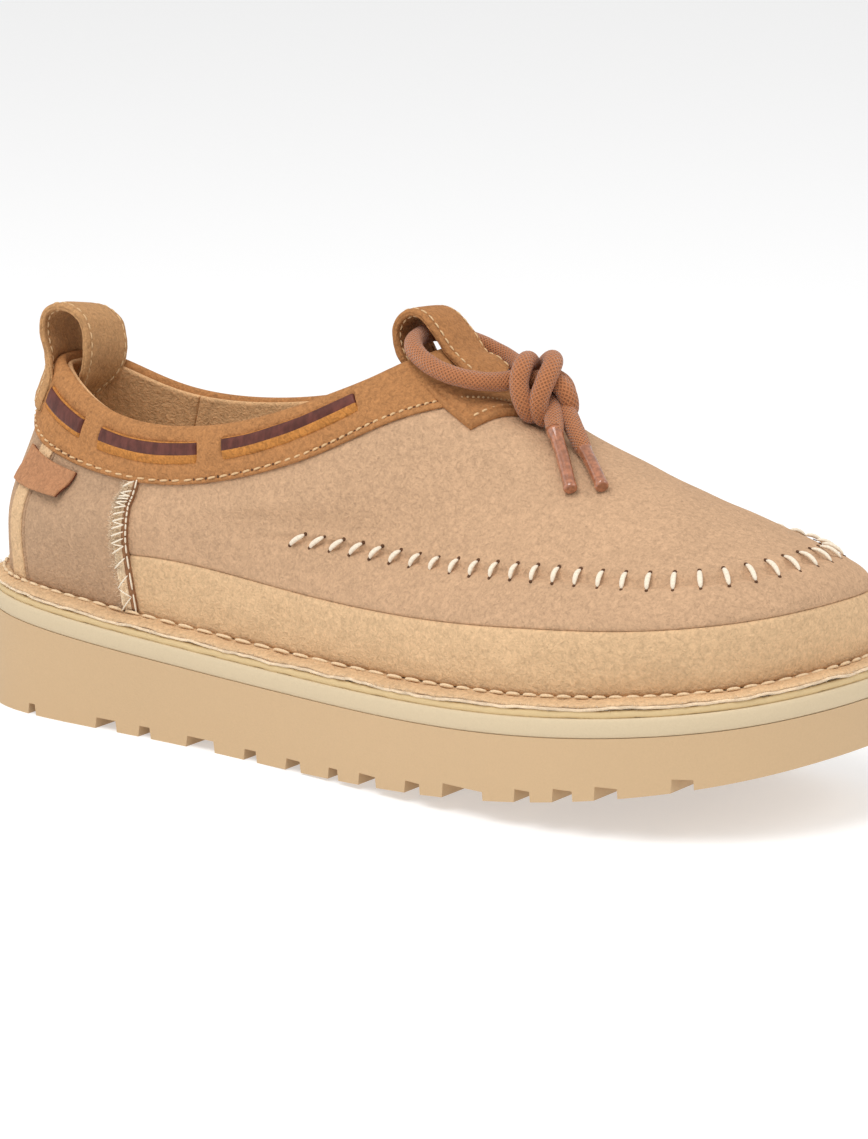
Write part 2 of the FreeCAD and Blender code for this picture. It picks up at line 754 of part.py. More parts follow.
KINDS = ("PartDesign::Body", "Part::Feature", "Part::Ellipsoid")
parts = [item for item in doc.Objects if item.TypeId in KINDS and item.getParentGeoFeatureGroup() is None]
os.makedirs("parts", exist_ok=True)
for item in parts:
    item.Placement = Placement(CENTRING, Rotation()) * item.Placement
    shape = item.Shape
    if shape.isNull() or not shape.isValid() or shape.Volume <= 0:
        raise RuntimeError(f"{item.Label} has a bad shape")
    shape.exportStep(f"parts/{item.Label}.step")
    print(item.Label, len(shape.Solids), round(shape.Volume / 1000, 2), "cm3")
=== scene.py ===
import math

import bmesh
import bpy
import numpy as np
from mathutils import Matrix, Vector


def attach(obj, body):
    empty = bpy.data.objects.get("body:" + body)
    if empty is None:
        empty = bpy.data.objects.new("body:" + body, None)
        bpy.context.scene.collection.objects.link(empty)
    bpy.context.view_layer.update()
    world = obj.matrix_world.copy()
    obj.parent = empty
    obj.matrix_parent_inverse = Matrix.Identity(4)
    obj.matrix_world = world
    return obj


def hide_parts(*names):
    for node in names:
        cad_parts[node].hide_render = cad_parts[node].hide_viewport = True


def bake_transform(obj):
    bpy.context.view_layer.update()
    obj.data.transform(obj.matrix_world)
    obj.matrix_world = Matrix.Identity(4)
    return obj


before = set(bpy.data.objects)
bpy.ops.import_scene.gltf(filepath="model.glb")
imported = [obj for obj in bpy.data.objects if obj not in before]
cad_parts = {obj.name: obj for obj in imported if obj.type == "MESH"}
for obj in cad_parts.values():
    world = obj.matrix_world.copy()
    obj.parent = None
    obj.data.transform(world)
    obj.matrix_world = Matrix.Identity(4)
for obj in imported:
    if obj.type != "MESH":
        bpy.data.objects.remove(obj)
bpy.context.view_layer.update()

# A right suede moccasin on a foam platform. The helper functions work in millimetres and
# in_frame turns them into the frame's metres. +X is the toe, -Y the lateral side, +Z up.

MM = 0.001
SHOE = "shoe"
# The drawing's XZ plane halves the heel, and lies 3 mm to the medial side of the frame's.
CENTRING = np.array([0, 3, 0])


# ---------------------------------------------------------------- camera, light and floor

VIEW_AZIMUTH = math.radians(34.47)
VIEW_ELEVATION = math.radians(13.02)
VIEW_DISTANCE = 1.5
VIEW_TARGET = Vector((0.00488, 0.003, 0.0551))
VIEW_ROWS = 1139
FOCAL_IN_ROWS = 5119


def look_along(azimuth, elevation):
    """Unit vector from what is looked at towards the eye."""
    flat = math.cos(elevation)
    return Vector((math.sin(azimuth) * flat, -math.cos(azimuth) * flat, math.sin(elevation)))


def make_camera():
    data = bpy.data.cameras.new("camera")
    data.sensor_width = 36
    data.lens = data.sensor_width * FOCAL_IN_ROWS / VIEW_ROWS
    data.clip_start = 0.05
    camera = bpy.data.objects.new("camera", data)
    bpy.context.scene.collection.objects.link(camera)
    back = look_along(VIEW_AZIMUTH, VIEW_ELEVATION)
    camera.location = VIEW_TARGET + back * VIEW_DISTANCE
    camera.rotation_euler = back.to_track_quat("Z", "Y").to_euler()
    bpy.context.scene.camera = camera


def softbox(name, azimuth, elevation, distance, width, power):
    data = bpy.data.lights.new(name, "AREA")
    data.shape = "SQUARE"
    data.size = width
    data.energy = power
    light = bpy.data.objects.new(name, data)
    bpy.context.scene.collection.objects.link(light)
    back = look_along(math.radians(azimuth), math.radians(elevation))
    light.location = back * distance + Vector((0, 0, 0.05))
    light.rotation_euler = back.to_track_quat("Z", "Y").to_euler()


def make_studio():
    bpy.context.scene.view_settings.view_transform = "Standard"
    world = bpy.data.worlds.new("studio")
    bpy.context.scene.world = world
    world.use_nodes = True
    sky = world.node_tree.nodes["Background"]
    sky.inputs["Color"].default_value = (1, 1, 1, 1)
    sky.inputs["Strength"].default_value = 0.6
    softbox("key", 5, 60, 1.4, 0.9, 13.5)
    softbox("side", 110, 35, 1.6, 0.9, 6)
    softbox("fill", -60, 25, 1.6, 1.1, 3)
    bpy.ops.mesh.primitive_plane_add(size=30, location=(0, 0, 0))
    floor = bpy.context.object
    floor.name = "floor"
    paper = bpy.data.materials.new("paper")
    paper.use_nodes = True
    shader = paper.node_tree.nodes["Principled BSDF"]
    shader.inputs["Base Color"].default_value = (0.6, 0.6, 0.6, 1)
    shader.inputs["Roughness"].default_value = 0.9
    shader.inputs["Emission Color"].default_value = (1, 1, 1, 1)
    shader.inputs["Emission Strength"].default_value = 0.44
    floor.data.materials.append(paper)


make_camera()
make_studio()

# ---------------------------------------------------------------- shader maths


class Wire:
    """A value in a material. An expression on wires adds its Math nodes."""

    def __init__(self, finish, socket):
        self.finish = finish
        self.socket = socket

    def maths(self, operation, *others, swap=False):
        values = (self,) + others
        if swap:
            values = values[::-1]
        inputs = dict(enumerate(values))
        return self.finish.add("ShaderNodeMath", {"operation": operation}, inputs)

    def __add__(self, other):
        return self.maths("ADD", other)

    __radd__ = __add__

    def __sub__(self, other):
        return self.maths("SUBTRACT", other)

    def __rsub__(self, other):
        return self.maths("SUBTRACT", other, swap=True)

    def __mul__(self, other):
        return self.maths("MULTIPLY", other)

    __rmul__ = __mul__

    def __truediv__(self, other):
        return self.maths("DIVIDE", other)

    def __pow__(self, other):
        return self.maths("POWER", other)

    def sine(self):
        return self.maths("SINE")

    def size(self):
        return self.maths("ABSOLUTE")

    def most(self, other):
        return self.maths("MAXIMUM", other)

    def between(self, low, high):
        """0 below low, 1 above high, smooth between."""
        inputs = {"Value": self, "From Min": low, "From Max": high}
        return self.finish.add("ShaderNodeMapRange", {"interpolation_type": "SMOOTHSTEP"}, inputs)


class Finish:
    """A material under construction."""

    def __init__(self, name):
        self.material = bpy.data.materials.new(name)
        self.material.use_nodes = True
        self.tree = self.material.node_tree
        self.shader = self.tree.nodes["Principled BSDF"]

    def add(self, kind, settings=None, inputs=None, output=0):
        node = self.tree.nodes.new(kind)
        for key, value in (settings or {}).items():
            setattr(node, key, value)
        for key, value in (inputs or {}).items():
            self.feed(node.inputs[key], value)
        return Wire(self, node.outputs[output])

    def feed(self, socket, value):
        if isinstance(value, Wire):
            self.tree.links.new(value.socket, socket)
        elif isinstance(value, tuple) and len(value) == 3 and socket.type == "RGBA":
            socket.default_value = value + (1,)
        else:
            socket.default_value = value

    def place(self, stretch=(1, 1, 1)):
        """Object coordinates, stretched along the axes."""
        where = self.add("ShaderNodeTexCoord", output="Object")
        if stretch == (1, 1, 1):
            return where
        return self.add("ShaderNodeMapping", inputs={"Vector": where, "Scale": stretch})

    def along(self):
        """The piece's own UV map in millimetres: x along it, y across it."""
        where = self.add("ShaderNodeUVMap", {"uv_map": "along"})
        node = self.tree.nodes.new("ShaderNodeSeparateXYZ")
        self.tree.links.new(where.socket, node.inputs[0])
        return Wire(self, node.outputs[0]), Wire(self, node.outputs[1])

    def noise(self, scale, detail=3, rough=0.55, where=None, warp=0.0):
        inputs = {
            "Vector": where or self.place(), "Scale": scale, "Detail": detail,
            "Roughness": rough, "Distortion": warp,
        }
        return self.add("ShaderNodeTexNoise", inputs=inputs)

    def cells(self, scale, where=None):
        return self.add("ShaderNodeTexVoronoi", inputs={"Vector": where or self.place(), "Scale": scale})

    def mix(self, share, first, second, blend="MIX"):
        inputs = {0: share, 6: first, 7: second}
        return self.add("ShaderNodeMix", {"data_type": "RGBA", "blend_type": blend}, inputs, output=2)

    def bump(self, height, depth, strength=1.0, under=None):
        inputs = {"Height": height, "Distance": depth, "Strength": strength}
        if under is not None:
            inputs["Normal"] = under
        return self.add("ShaderNodeBump", inputs=inputs)

    def done(self, colour, roughness, normal=None, **fixed):
        self.feed(self.shader.inputs["Base Color"], colour)
        self.feed(self.shader.inputs["Roughness"], roughness)
        if normal is not None:
            self.feed(self.shader.inputs["Normal"], normal)
        for key, value in fixed.items():
            self.shader.inputs[key.replace("_", " ")].default_value = value
        return self.material


def linear(red, green, blue):
    """A colour given as 0 to 255 screen values, as the shader wants it."""
    def channel(value):
        share = value / 255
        return share / 12.92 if share <= 0.04045 else ((share + 0.055) / 1.055) ** 2.4
    return (channel(red), channel(green), channel(blue))


def shade(colour, factor):
    return tuple(channel * factor for channel in colour)


def suede(name, colour, nap=0.35, mottle=0.16, sheen=0.25):
    """Brushed leather: fine nap, soft blotches where it was stroked, no gloss."""
    finish = Finish(name)
    fine = finish.noise(1300, 2, 0.6)
    grain = finish.noise(620, 3, 0.65, warp=0.8)
    stroke = finish.noise(60, 3, 0.6, where=finish.place((1, 1, 1.8)))
    blotch = finish.noise(12, 2, 0.5)
    tone = (grain - 0.5) * (nap * 1.5) + (fine - 0.5) * nap + (stroke - 0.5) * (mottle * 0.7)
    tone = tone + (blotch - 0.5) * (mottle * 0.4) + 0.5
    tinted = finish.mix(tone.between(0.2, 0.8), shade(colour, 0.68), shade(colour, 1.27))
    relief = fine * 0.4 + grain * 0.75
    normal = finish.bump(relief, 0.0009, 0.85)
    rough = 0.86 + (grain - 0.5) * 0.1
    return finish.done(
        tinted, rough, normal,
        Sheen_Weight=sheen, Sheen_Roughness=0.45, Specular_IOR_Level=0.22,
        Sheen_Tint=shade(colour, 1.6) + (1,),
    )


def foam(name, colour):
    """Moulded foam: an even matte skin with tiny dimples."""
    finish = Finish(name)
    skin = finish.noise(1700, 2, 0.6)
    drift = finish.noise(9, 2, 0.5)
    tone = (skin - 0.5) * 0.25 + (drift - 0.5) * 0.2 + 0.5
    tinted = finish.mix(tone.between(0.2, 0.8), shade(colour, 0.9), shade(colour, 1.08))
    normal = finish.bump(skin, 0.00018, 0.35)
    rough = 0.62 + (skin - 0.5) * 0.15
    return finish.done(tinted, rough, normal, Specular_IOR_Level=0.35, Sheen_Weight=0.0)


def fleece(name, colour, dark=0.62, depth_of_pile=0.0011):
    """Short dense wool: curled clumps with soft shadows between them."""
    finish = Finish(name)
    curl = finish.noise(260, 4, 0.7, warp=1.4)
    clump = finish.cells(210)
    hair = finish.noise(1600, 2, 0.6, warp=2.0)
    depth = curl * 0.6 + (1 - clump) * 0.25 + hair * 0.2
    tinted = finish.mix(depth.between(0.3, 0.8), shade(colour, dark), shade(colour, 1.22))
    normal = finish.bump(depth, depth_of_pile, 0.8)
    return finish.done(tinted, 0.95, normal, Sheen_Weight=0.5, Sheen_Roughness=0.5, Specular_IOR_Level=0.1)


def thread_finish(name, colour):
    """Plied waxed thread: twisted strands along the length."""
    finish = Finish(name)
    along, across = finish.along()
    twist = (along * 5.2 + across * 6.2832).sine()
    fibre = finish.noise(2600, 2, 0.6)
    # Partly painted shade: the twist term darkens the grooves between the plies a little; the fibre noise is
    # the thread's own tone.
    tone = twist * 0.05 + fibre * 0.6 + 0.25
    tinted = finish.mix(tone.between(0.1, 0.9), shade(colour, 0.72), shade(colour, 1.1))
    normal = finish.bump(twist * 0.1 + fibre * 0.5, 0.00015, 0.5)
    return finish.done(tinted, 0.7, normal, Sheen_Weight=0.2, Specular_IOR_Level=0.3)


def knit_cord(name, colour):
    """Braided round cord: rows of small slanted strands."""
    finish = Finish(name)
    along, across = finish.along()
    lean = along * 5.6
    left = (lean + across * (2 * math.pi * 13)).sine()
    right = (lean - across * (2 * math.pi * 13)).sine()
    strands = left.most(right)
    fibre = finish.noise(2400, 2, 0.6)
    # Partly painted shade: the strand term darkens the grooves between the strands; the fibre noise is the
    # cord's own tone.
    tone = strands * 0.34 + fibre * 0.75 + 0.05
    tinted = finish.mix(tone.between(-0.15, 0.75), shade(colour, 0.5), shade(colour, 1.16))
    normal = finish.bump(strands * 0.7 + fibre * 0.3, 0.0004, 0.8)
    return finish.done(tinted, 0.75, normal, Sheen_Weight=0.3, Sheen_Roughness=0.4, Specular_IOR_Level=0.3)


def waxed_lace(name, colour):
    """Polished leather strip with faint creases across it."""
    finish = Finish(name)
    crease = finish.noise(420, 3, 0.6, where=finish.place((1, 1, 0.4)))
    fine = finish.noise(1900, 2, 0.6)
    tinted = finish.mix(crease.between(0.3, 0.75), shade(colour, 0.7), shade(colour, 1.35))
    normal = finish.bump(crease * 0.6 + fine * 0.4, 0.0002, 0.5)
    return finish.done(tinted, 0.45 + (fine - 0.5) * 0.2, normal, Specular_IOR_Level=0.22)


def aglet_sleeve(name, colour):
    """Clear shrunk sleeve over brown cord: glossy, with the braid faintly seen."""
    finish = Finish(name)
    streak = finish.noise(700, 3, 0.6)
    tinted = finish.mix(streak.between(0.35, 0.7), shade(colour, 0.72), shade(colour, 1.25))
    normal = finish.bump(streak, 0.0002, 0.5)
    return finish.done(tinted, 0.22, normal, Coat_Weight=0.7, Coat_Roughness=0.08)


FOXING = linear(210, 175, 135)
VAMP = linear(192, 156, 123)
QUARTER = linear(179, 146, 116)
COLLAR = linear(173, 121, 75)
LOOP = linear(181, 137, 93)
TONGUE = linear(166, 115, 71)
FLEECE = linear(226, 200, 166)

MATERIALS = {
    "foxing_suede": suede("foxing_suede", FOXING),
    "vamp_suede": suede("vamp_suede", VAMP),
    "quarter_suede": suede("quarter_suede", QUARTER),
    "collar_suede": suede("collar_suede", COLLAR, nap=0.45),
    "loop_suede": suede("loop_suede", LOOP, nap=0.45),
    "patch_suede": suede("patch_suede", TONGUE, nap=0.45),
    "label_suede": suede("label_suede", linear(176, 126, 90), nap=0.4),
    "seam_fleece": fleece("seam_fleece", linear(236, 210, 174), dark=0.85, depth_of_pile=0.0004),
    "seam_suede": suede("seam_suede", linear(150, 108, 76), nap=0.5),
    "label_back": suede("label_back", linear(112, 58, 42), nap=0.5),
    "facing_suede": suede("facing_suede", linear(212, 168, 122), nap=0.4),
    "outsole_foam": foam("outsole_foam", linear(196, 166, 128)),
    "midsole_foam": foam("midsole_foam", linear(203, 184, 152)),
    "board": foam("board", linear(208, 182, 136)),
    "foam": foam("foam", linear(226, 220, 205)),
    "fleece": fleece("fleece", FLEECE, dark=0.72),
    "pale_fleece": fleece("pale_fleece", linear(226, 202, 170), dark=0.82, depth_of_pile=0.0005),
    "stiffener": foam("stiffener", linear(180, 160, 130)),
    "thread": thread_finish("thread", linear(234, 220, 198)),
    "welt_thread": thread_finish("welt_thread", linear(226, 198, 160)),
    "tan_thread": thread_finish("tan_thread", linear(214, 178, 132)),
    # Painted shade: the dark discs at the needle holes stand for the shadow inside each hole.
    "painted_hole_shade": suede("painted_hole_shade", linear(92, 62, 42)),
    "lace_leather": waxed_lace("lace_leather", linear(92, 50, 42)),
    "lace_suede": suede("lace_suede", linear(186, 124, 62), nap=0.6),
    "cord": knit_cord("cord", linear(170, 108, 68)),
    "aglet": aglet_sleeve("aglet", linear(160, 102, 72)),
}

# ---------------------------------------------------------------- meshes


def in_frame(points):
    return (np.asarray(points, float) + CENTRING) * MM


def new_mesh(name, points, faces, material, body=SHOE, slot=None, uv=None, corner_uv=None, smooth=True):
    """A piece from points in millimetres, riding on a body."""
    data = bpy.data.meshes.new(name)
    data.from_pydata(in_frame(points).tolist(), [], [list(map(int, f)) for f in faces])
    if uv is not None:
        corners = np.zeros(len(data.loops), int)
        data.loops.foreach_get("vertex_index", corners)
        corner_uv = np.asarray(uv, np.float32)[corners]
    if corner_uv is not None:
        layer = data.uv_layers.new(name="along")
        layer.data.foreach_set("uv", np.asarray(corner_uv, np.float32).ravel())
    data.materials.append(MATERIALS[material])
    if smooth:
        data.polygons.foreach_set("use_smooth", np.ones(len(data.polygons), bool))
    data.validate()
    data.update()
    mesh = bmesh.new()
    mesh.from_mesh(data)
    bmesh.ops.recalc_face_normals(mesh, faces=mesh.faces)
    mesh.to_mesh(data)
    mesh.free()
    piece = bpy.data.objects.new(name, data)
    bpy.context.scene.collection.objects.link(piece)
    if body:
        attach(piece, body)
    return piece


def grid_faces(rows, columns, closed_rows=False, closed_columns=False, start=0):
    """Quads over a grid of rows x columns points, numbered row by row."""
    i = np.arange(rows if closed_rows else rows - 1)[:, None]
    j = np.arange(columns if closed_columns else columns - 1)[None, :]
    a = i * columns + j
    b = i * columns + (j + 1) % columns
    c = ((i + 1) % rows) * columns + (j + 1) % columns
    d = ((i + 1) % rows) * columns + j
    return (np.stack([a, b, c, d], -1).reshape(-1, 4) + start).tolist()


def grid_lengths(grid):
    """Distance run along the rows and along the columns of a grid of points."""
    down = np.linalg.norm(np.diff(grid, axis=0), axis=2)
    over = np.linalg.norm(np.diff(grid, axis=1), axis=2)
    down = np.vstack([np.zeros((1, grid.shape[1])), np.cumsum(down, axis=0)])
    over = np.hstack([np.zeros((grid.shape[0], 1)), np.cumsum(over, axis=1)])
    return down, over


def grid_uv(grid):
    return np.stack(grid_lengths(grid), -1).reshape(-1, 2)


def ruffle(points, size, depth, seed):
    """Smooth pseudo-random offsets, the same each run, from a few crossed waves."""
    draw = np.random.default_rng(seed)
    total = np.zeros(points.shape[:-1])
    for _ in range(7):
        wave = draw.normal(size=3)
        wave *= 2 * math.pi / (size * np.linalg.norm(wave)) * draw.uniform(0.6, 1.6)
        total += np.sin(points @ wave + draw.uniform(0, 2 * math.pi))
    return total * depth / math.sqrt(7)


# ---------------------------------------------------------------- the sole's outline and levels

HALF = 150
SOLE_OUTLINE = [
    (-150, 0), (-141, -25), (-113, -34.5), (-70, -36.5), (-20, -42), (30, -51.5),
    (72, -56), (108, -51), (137, -32), (150, 4), (143, 31), (118, 45.5),
    (80, 50), (35, 45), (-20, 38), (-70, 36), (-113, 35), (-140, 24),
]
FEATHER = [
    (-145.5, 0), (-137.5, -21), (-112, -27), (-70, -29), (-19, -35), (31, -44),
    (72, -49), (106, -44), (131, -28), (143, 5), (137, 26), (116, 38),
    (80, 43), (36, 38), (-19, 31), (-70, 29), (-112, 28), (-137.5, 21),
]
STATIONS = len(FEATHER)
HEEL_THICK = 31.5
WAIST_THICK = 23
TOE_THICK = 36.8
FLANGE_TOP = 10.1


def outsole_top(x):
    share = x / HALF
    bow = (TOE_THICK + HEEL_THICK) / 2 - WAIST_THICK
    return WAIST_THICK + (TOE_THICK - HEEL_THICK) / 2 * share + bow * share * share


def ring_poles(points):
    """Control points of the smooth closed cubic through the points."""
    targets = np.array(points, float)
    poles = targets
    for _ in range(40):
        poles = (6 * targets - np.roll(poles, 1, 0) - np.roll(poles, -1, 0)) / 4
    return poles


def ring_at(poles, stations):
    stations = np.asarray(stations, float)
    whole = np.floor(stations).astype(int)
    part = (stations - whole)[..., None]
    near = [poles[(whole + k) % len(poles)] for k in (-1, 0, 1, 2)]
    weights = [
        (1 - part) ** 3, 3 * part ** 3 - 6 * part ** 2 + 4,
        -3 * part ** 3 + 3 * part ** 2 + 3 * part + 1, part ** 3,
    ]
    return sum(pole * weight for pole, weight in zip(near, weights)) / 6


SOLE_POLES = ring_poles(SOLE_OUTLINE)


def sole_edge(stations, inset):
    """Points of the sole's outline, moved inwards by inset, which may differ from point to point."""
    step = 0.01
    place = ring_at(SOLE_POLES, stations)
    along = ring_at(SOLE_POLES, stations + step) - ring_at(SOLE_POLES, stations - step)
    along /= np.linalg.norm(along, axis=-1, keepdims=True)
    inward = np.stack([-along[..., 1], along[..., 0]], -1)
    return place + inward * np.asarray(inset)[..., None]


def rim(name, profile, material, count=720, wobble=None, replaces=(), **kinds):
    """A band all round the sole. profile lists (inset, height over the outsole's top)."""
    stations = np.arange(count) * STATIONS / count
    grid = np.zeros((count, len(profile), 3))
    for k, (inset, height) in enumerate(profile):
        flat = sole_edge(stations, np.full(count, float(inset)))
        grid[:, k, :2] = flat
        grid[:, k, 2] = outsole_top(flat[:, 0]) + height
    if wobble is not None:
        grid = wobble(grid)
    uv = grid_uv(grid)
    faces = grid_faces(count, len(profile), closed_rows=True, closed_columns=True)
    piece = new_mesh(name, grid.reshape(-1, 3), faces, material, uv=uv, **kinds)
    for node in replaces:
        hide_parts(node)
    return piece


# ---------------------------------------------------------------- surface of the upper

def full_ring(lateral, medial):
    rear = [(x, -y, z) for x, y, z in (lateral[n] for n in (4, 3, 2, 1))]
    return lateral + medial + rear


FOXING_RING = full_ring(
    [(-144.5, 0, 51), (-138, -21, 51), (-113, -29, 51), (-72, -31, 54), (-20, -36.5, 52),
     (31, -46, 53), (71, -50.5, 56.5), (106, -48, 60), (134, -30, 63.5), (143.5, 2, 64.5)],
    [(137.5, 26, 63.5), (113, 43.5, 62), (75, 47, 59), (33, 41.5, 55)],
)
APRON_RING = full_ring(
    [(-144, 0, 61), (-138, -20.5, 60), (-112.5, -29.5, 60), (-72, -31.5, 62), (-20, -33, 67),
     (28, -36.5, 67), (66, -40, 69.5), (98, -39, 71), (124, -26, 73.5), (132.5, 2, 74.5)],
    [(125, 23, 72.5), (102, 33, 73), (70, 36.5, 71.5), (28, 33.5, 69)],
)
CROWN_RING = full_ring(
    [(-142, 0, 73), (-135, -18.5, 71), (-111, -27, 68), (-73, -30.5, 69), (-30, -33, 75),
     (5, -32, 80), (36, -28, 85), (62, -21, 90), (79, -11, 91), (86, 2, 90)],
    [(80, 13, 89.5), (64, 21, 88), (36, 27, 84.5), (5, 30, 80)],
)
BAND_RING = full_ring(
    [(-138, 0, 88), (-130.5, -15, 82), (-107, -23.5, 76.5), (-73, -28.5, 76), (-38, -31, 83.5),
     (-12, -30, 93.5), (8, -25.5, 103.5), (24, -17, 108.5), (33, -9, 108), (36.5, 0, 106)],
    [(33, 9, 108), (24, 17, 108.5), (8, 25.5, 103.5), (-12, 30, 93.5)],
)
TOPLINE_RING = full_ring(
    [(-130.5, 0, 105), (-122.5, -12, 103), (-101, -21, 94.5), (-71, -27, 93), (-42, -28, 98.5),
     (-19, -25.5, 107), (-4, -19.5, 114), (5, -13, 119), (11, -7, 121.5), (13, 0, 122.5)],
    [(11, 7, 121.5), (5, 13, 119), (-4, 19.5, 114), (-19, 25.5, 107)],
)
FEATHER_RING = [(x, y, outsole_top(x) + FLANGE_TOP) for x, y in FEATHER]
FOXING_UP = 0.16
APRON_UP = 0.32
BAND_UP = 0.82
LEVELS = np.array([0, FOXING_UP, APRON_UP, 0.56, BAND_UP, 1])
RING_POLES = [
    ring_poles(ring)
    for ring in (FEATHER_RING, FOXING_RING, APRON_RING, CROWN_RING, BAND_RING, TOPLINE_RING)
]


def rib_solver():
    """Matrix from the six ring points of a rib to the natural cubic's second derivatives."""
    count = len(LEVELS)
    left = np.eye(count)
    right = np.zeros((count, count))
    for n in range(1, count - 1):
        before = LEVELS[n] - LEVELS[n - 1]
        after = LEVELS[n + 1] - LEVELS[n]
        left[n, n - 1:n + 2] = before, 2 * (before + after), after
        right[n, n - 1:n + 2] = 6 / before, -6 / before - 6 / after, 6 / after
    return np.linalg.solve(left, right)


RIB_BENDS = rib_solver()


def upper_point(station, up):
    """Points of the upper's outer surface at stations round the shoe and shares of the way up."""
    station, up = np.broadcast_arrays(np.asarray(station, float), np.asarray(up, float))
    rings = np.stack([ring_at(poles, station) for poles in RING_POLES], 0)
    bends = np.tensordot(RIB_BENDS, rings, axes=(1, 0))
    n = np.clip(np.searchsorted(LEVELS, up, side="right") - 1, 0, len(LEVELS) - 2)
    gap = (LEVELS[n + 1] - LEVELS[n])[..., None]
    high = ((up - LEVELS[n])[..., None]) / gap
    low = 1 - high

    def pick(table, index):
        return np.take_along_axis(table, index[None, ..., None], axis=0)[0]

    curve = pick(bends, n) * (low ** 3 - low) + pick(bends, n + 1) * (high ** 3 - high)
    return pick(rings, n) * low + pick(rings, n + 1) * high + curve * gap ** 2 / 6


def upper_normal(station, up):
    step = 0.008
    station, up = np.broadcast_arrays(np.asarray(station, float), np.clip(np.asarray(up, float), 0, 1))
    along = upper_point(station + step, up) - upper_point(station - step, up)
    rise = upper_point(station, np.minimum(up + step, 1)) - upper_point(station, np.maximum(up - step, 0))
    normal = np.cross(along, rise)
    return normal / np.linalg.norm(normal, axis=-1, keepdims=True)


def off_upper(station, up, out):
    out = np.asarray(out, float)
    return upper_point(station, up) + upper_normal(station, up) * out[..., None]


def spaced(low, high, count, edge, span):
    """Numbers from low to high, close together in the first and last edge millimetres of span."""
    share = edge / span
    near = share * np.array([0, 0.06, 0.2, 0.45, 0.75])
    middle = np.linspace(share, 1 - share, count)
    return low + (high - low) * np.concatenate([near, middle, 1 - near[::-1]])


def sheet_on_upper(
    name, start, stop, low, high, material, out=0.0, thick=1.8, edge=1.4, columns=100, rows=30,
    relief=None, replaces=(), body=SHOE, slot=None,
):
    """A leather sheet on the upper with rounded edges, between two stations and two heights.

    low and high may be functions of the station, and relief adds to the outer face.
    """
    middle = (start + stop) / 2
    run = np.linalg.norm(np.diff(upper_point(np.linspace(start, stop, 60), 0.5), axis=0), axis=1).sum()
    bottom_top = [f(middle) if callable(f) else f for f in (low, high)]
    rise = np.linalg.norm(np.diff(upper_point(middle, np.linspace(*bottom_top, 30)), axis=0), axis=1).sum()
    stations = spaced(start, stop, columns, edge, run)
    shares = spaced(0, 1, rows, edge, rise)
    lows = np.array([low(s) if callable(low) else low for s in stations])
    highs = np.array([high(s) if callable(high) else high for s in stations])
    ups = lows[:, None] + (highs - lows)[:, None] * shares[None, :]
    place = np.repeat(stations[:, None], len(shares), 1)
    flat = upper_point(place, ups)
    down, over = grid_lengths(flat)
    from_edge = np.minimum.reduce([down, down[-1:] - down, over, over[:, -1:] - over])
    round_off = np.sqrt(np.clip(1 - (1 - np.clip(from_edge / edge, 0, 1)) ** 2, 0, 1))
    normal = upper_normal(place, ups)
    base = out(place, ups) if callable(out) else np.full(place.shape, float(out))
    extra = relief(place, ups, flat, from_edge) if relief is not None else 0.0
    outer = flat + normal * (base - thick / 2 + round_off * (thick / 2) + extra * round_off)[..., None]
    inner = flat + normal * (base - thick / 2 - round_off * thick / 2)[..., None]
    n, m = place.shape
    points = outer.reshape(-1, 3)
    uv = np.stack([down, over], -1).reshape(-1, 2)
    numbers = np.arange(n * m).reshape(n, m)
    inside = numbers.copy()
    inside[1:-1, 1:-1] = n * m + np.arange((n - 2) * (m - 2)).reshape(n - 2, m - 2)
    points = np.vstack([points, inner[1:-1, 1:-1].reshape(-1, 3)])
    uv = np.vstack([uv, np.stack([down, over], -1)[1:-1, 1:-1].reshape(-1, 2)])

    def quads(table, flip):
        square = [table[:-1, :-1], table[1:, :-1], table[1:, 1:], table[:-1, 1:]]
        faces = np.stack(square, -1).reshape(-1, 4)
        return (faces[:, ::-1] if flip else faces).tolist()

    faces = quads(numbers, False) + quads(inside, True)
    piece = new_mesh(name, points, faces, material, body=body, slot=slot, uv=uv)
    for node in replaces:
        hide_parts(node)
    return piece


# ---------------------------------------------------------------- cord, knot and aglets

CORD_DIAMETER = 5.5
# The route's points in metres: from the lateral aglet through the knot, the tongue loop and
# the knot again to the medial aglet.
LATERAL_TAIL = [(0.0543, -0.0081, 0.1032), (0.0512, -0.0040, 0.1061)]
LATERAL_TURN = [
    (0.0480, -0.0007, 0.1090), (0.0454, 0.0017, 0.1104), (0.0426, 0.0023, 0.1077),
    (0.0429, -0.0031, 0.1063), (0.0428, -0.0072, 0.1098), (0.0411, -0.0076, 0.1162),
    (0.0409, -0.0048, 0.1212), (0.0393, 0.0007, 0.1219), (0.0375, 0.0058, 0.1177),
    (0.0413, 0.0074, 0.1125), (0.0458, 0.0078, 0.1089), (0.0498, 0.0056, 0.1072),
    (0.0520, 0.0028, 0.1097), (0.0511, 0.0019, 0.1140), (0.0472, 0.0019, 0.1164),
    (0.0423, 0.0006, 0.1160), (0.0386, -0.0027, 0.1169),
]
CORD_LOOP = [
    (0.0345, -0.0065, 0.1156), (0.0275, -0.0132, 0.1166), (0.0170, -0.0154, 0.1192),
    (0.0065, -0.0115, 0.1236), (0.0034, -0.0025, 0.1256), (0.0034, 0.0080, 0.1254),
    (0.0090, 0.0185, 0.1212), (0.0180, 0.0202, 0.1176), (0.0260, 0.0175, 0.1154),
    (0.0335, 0.0105, 0.1146),
]
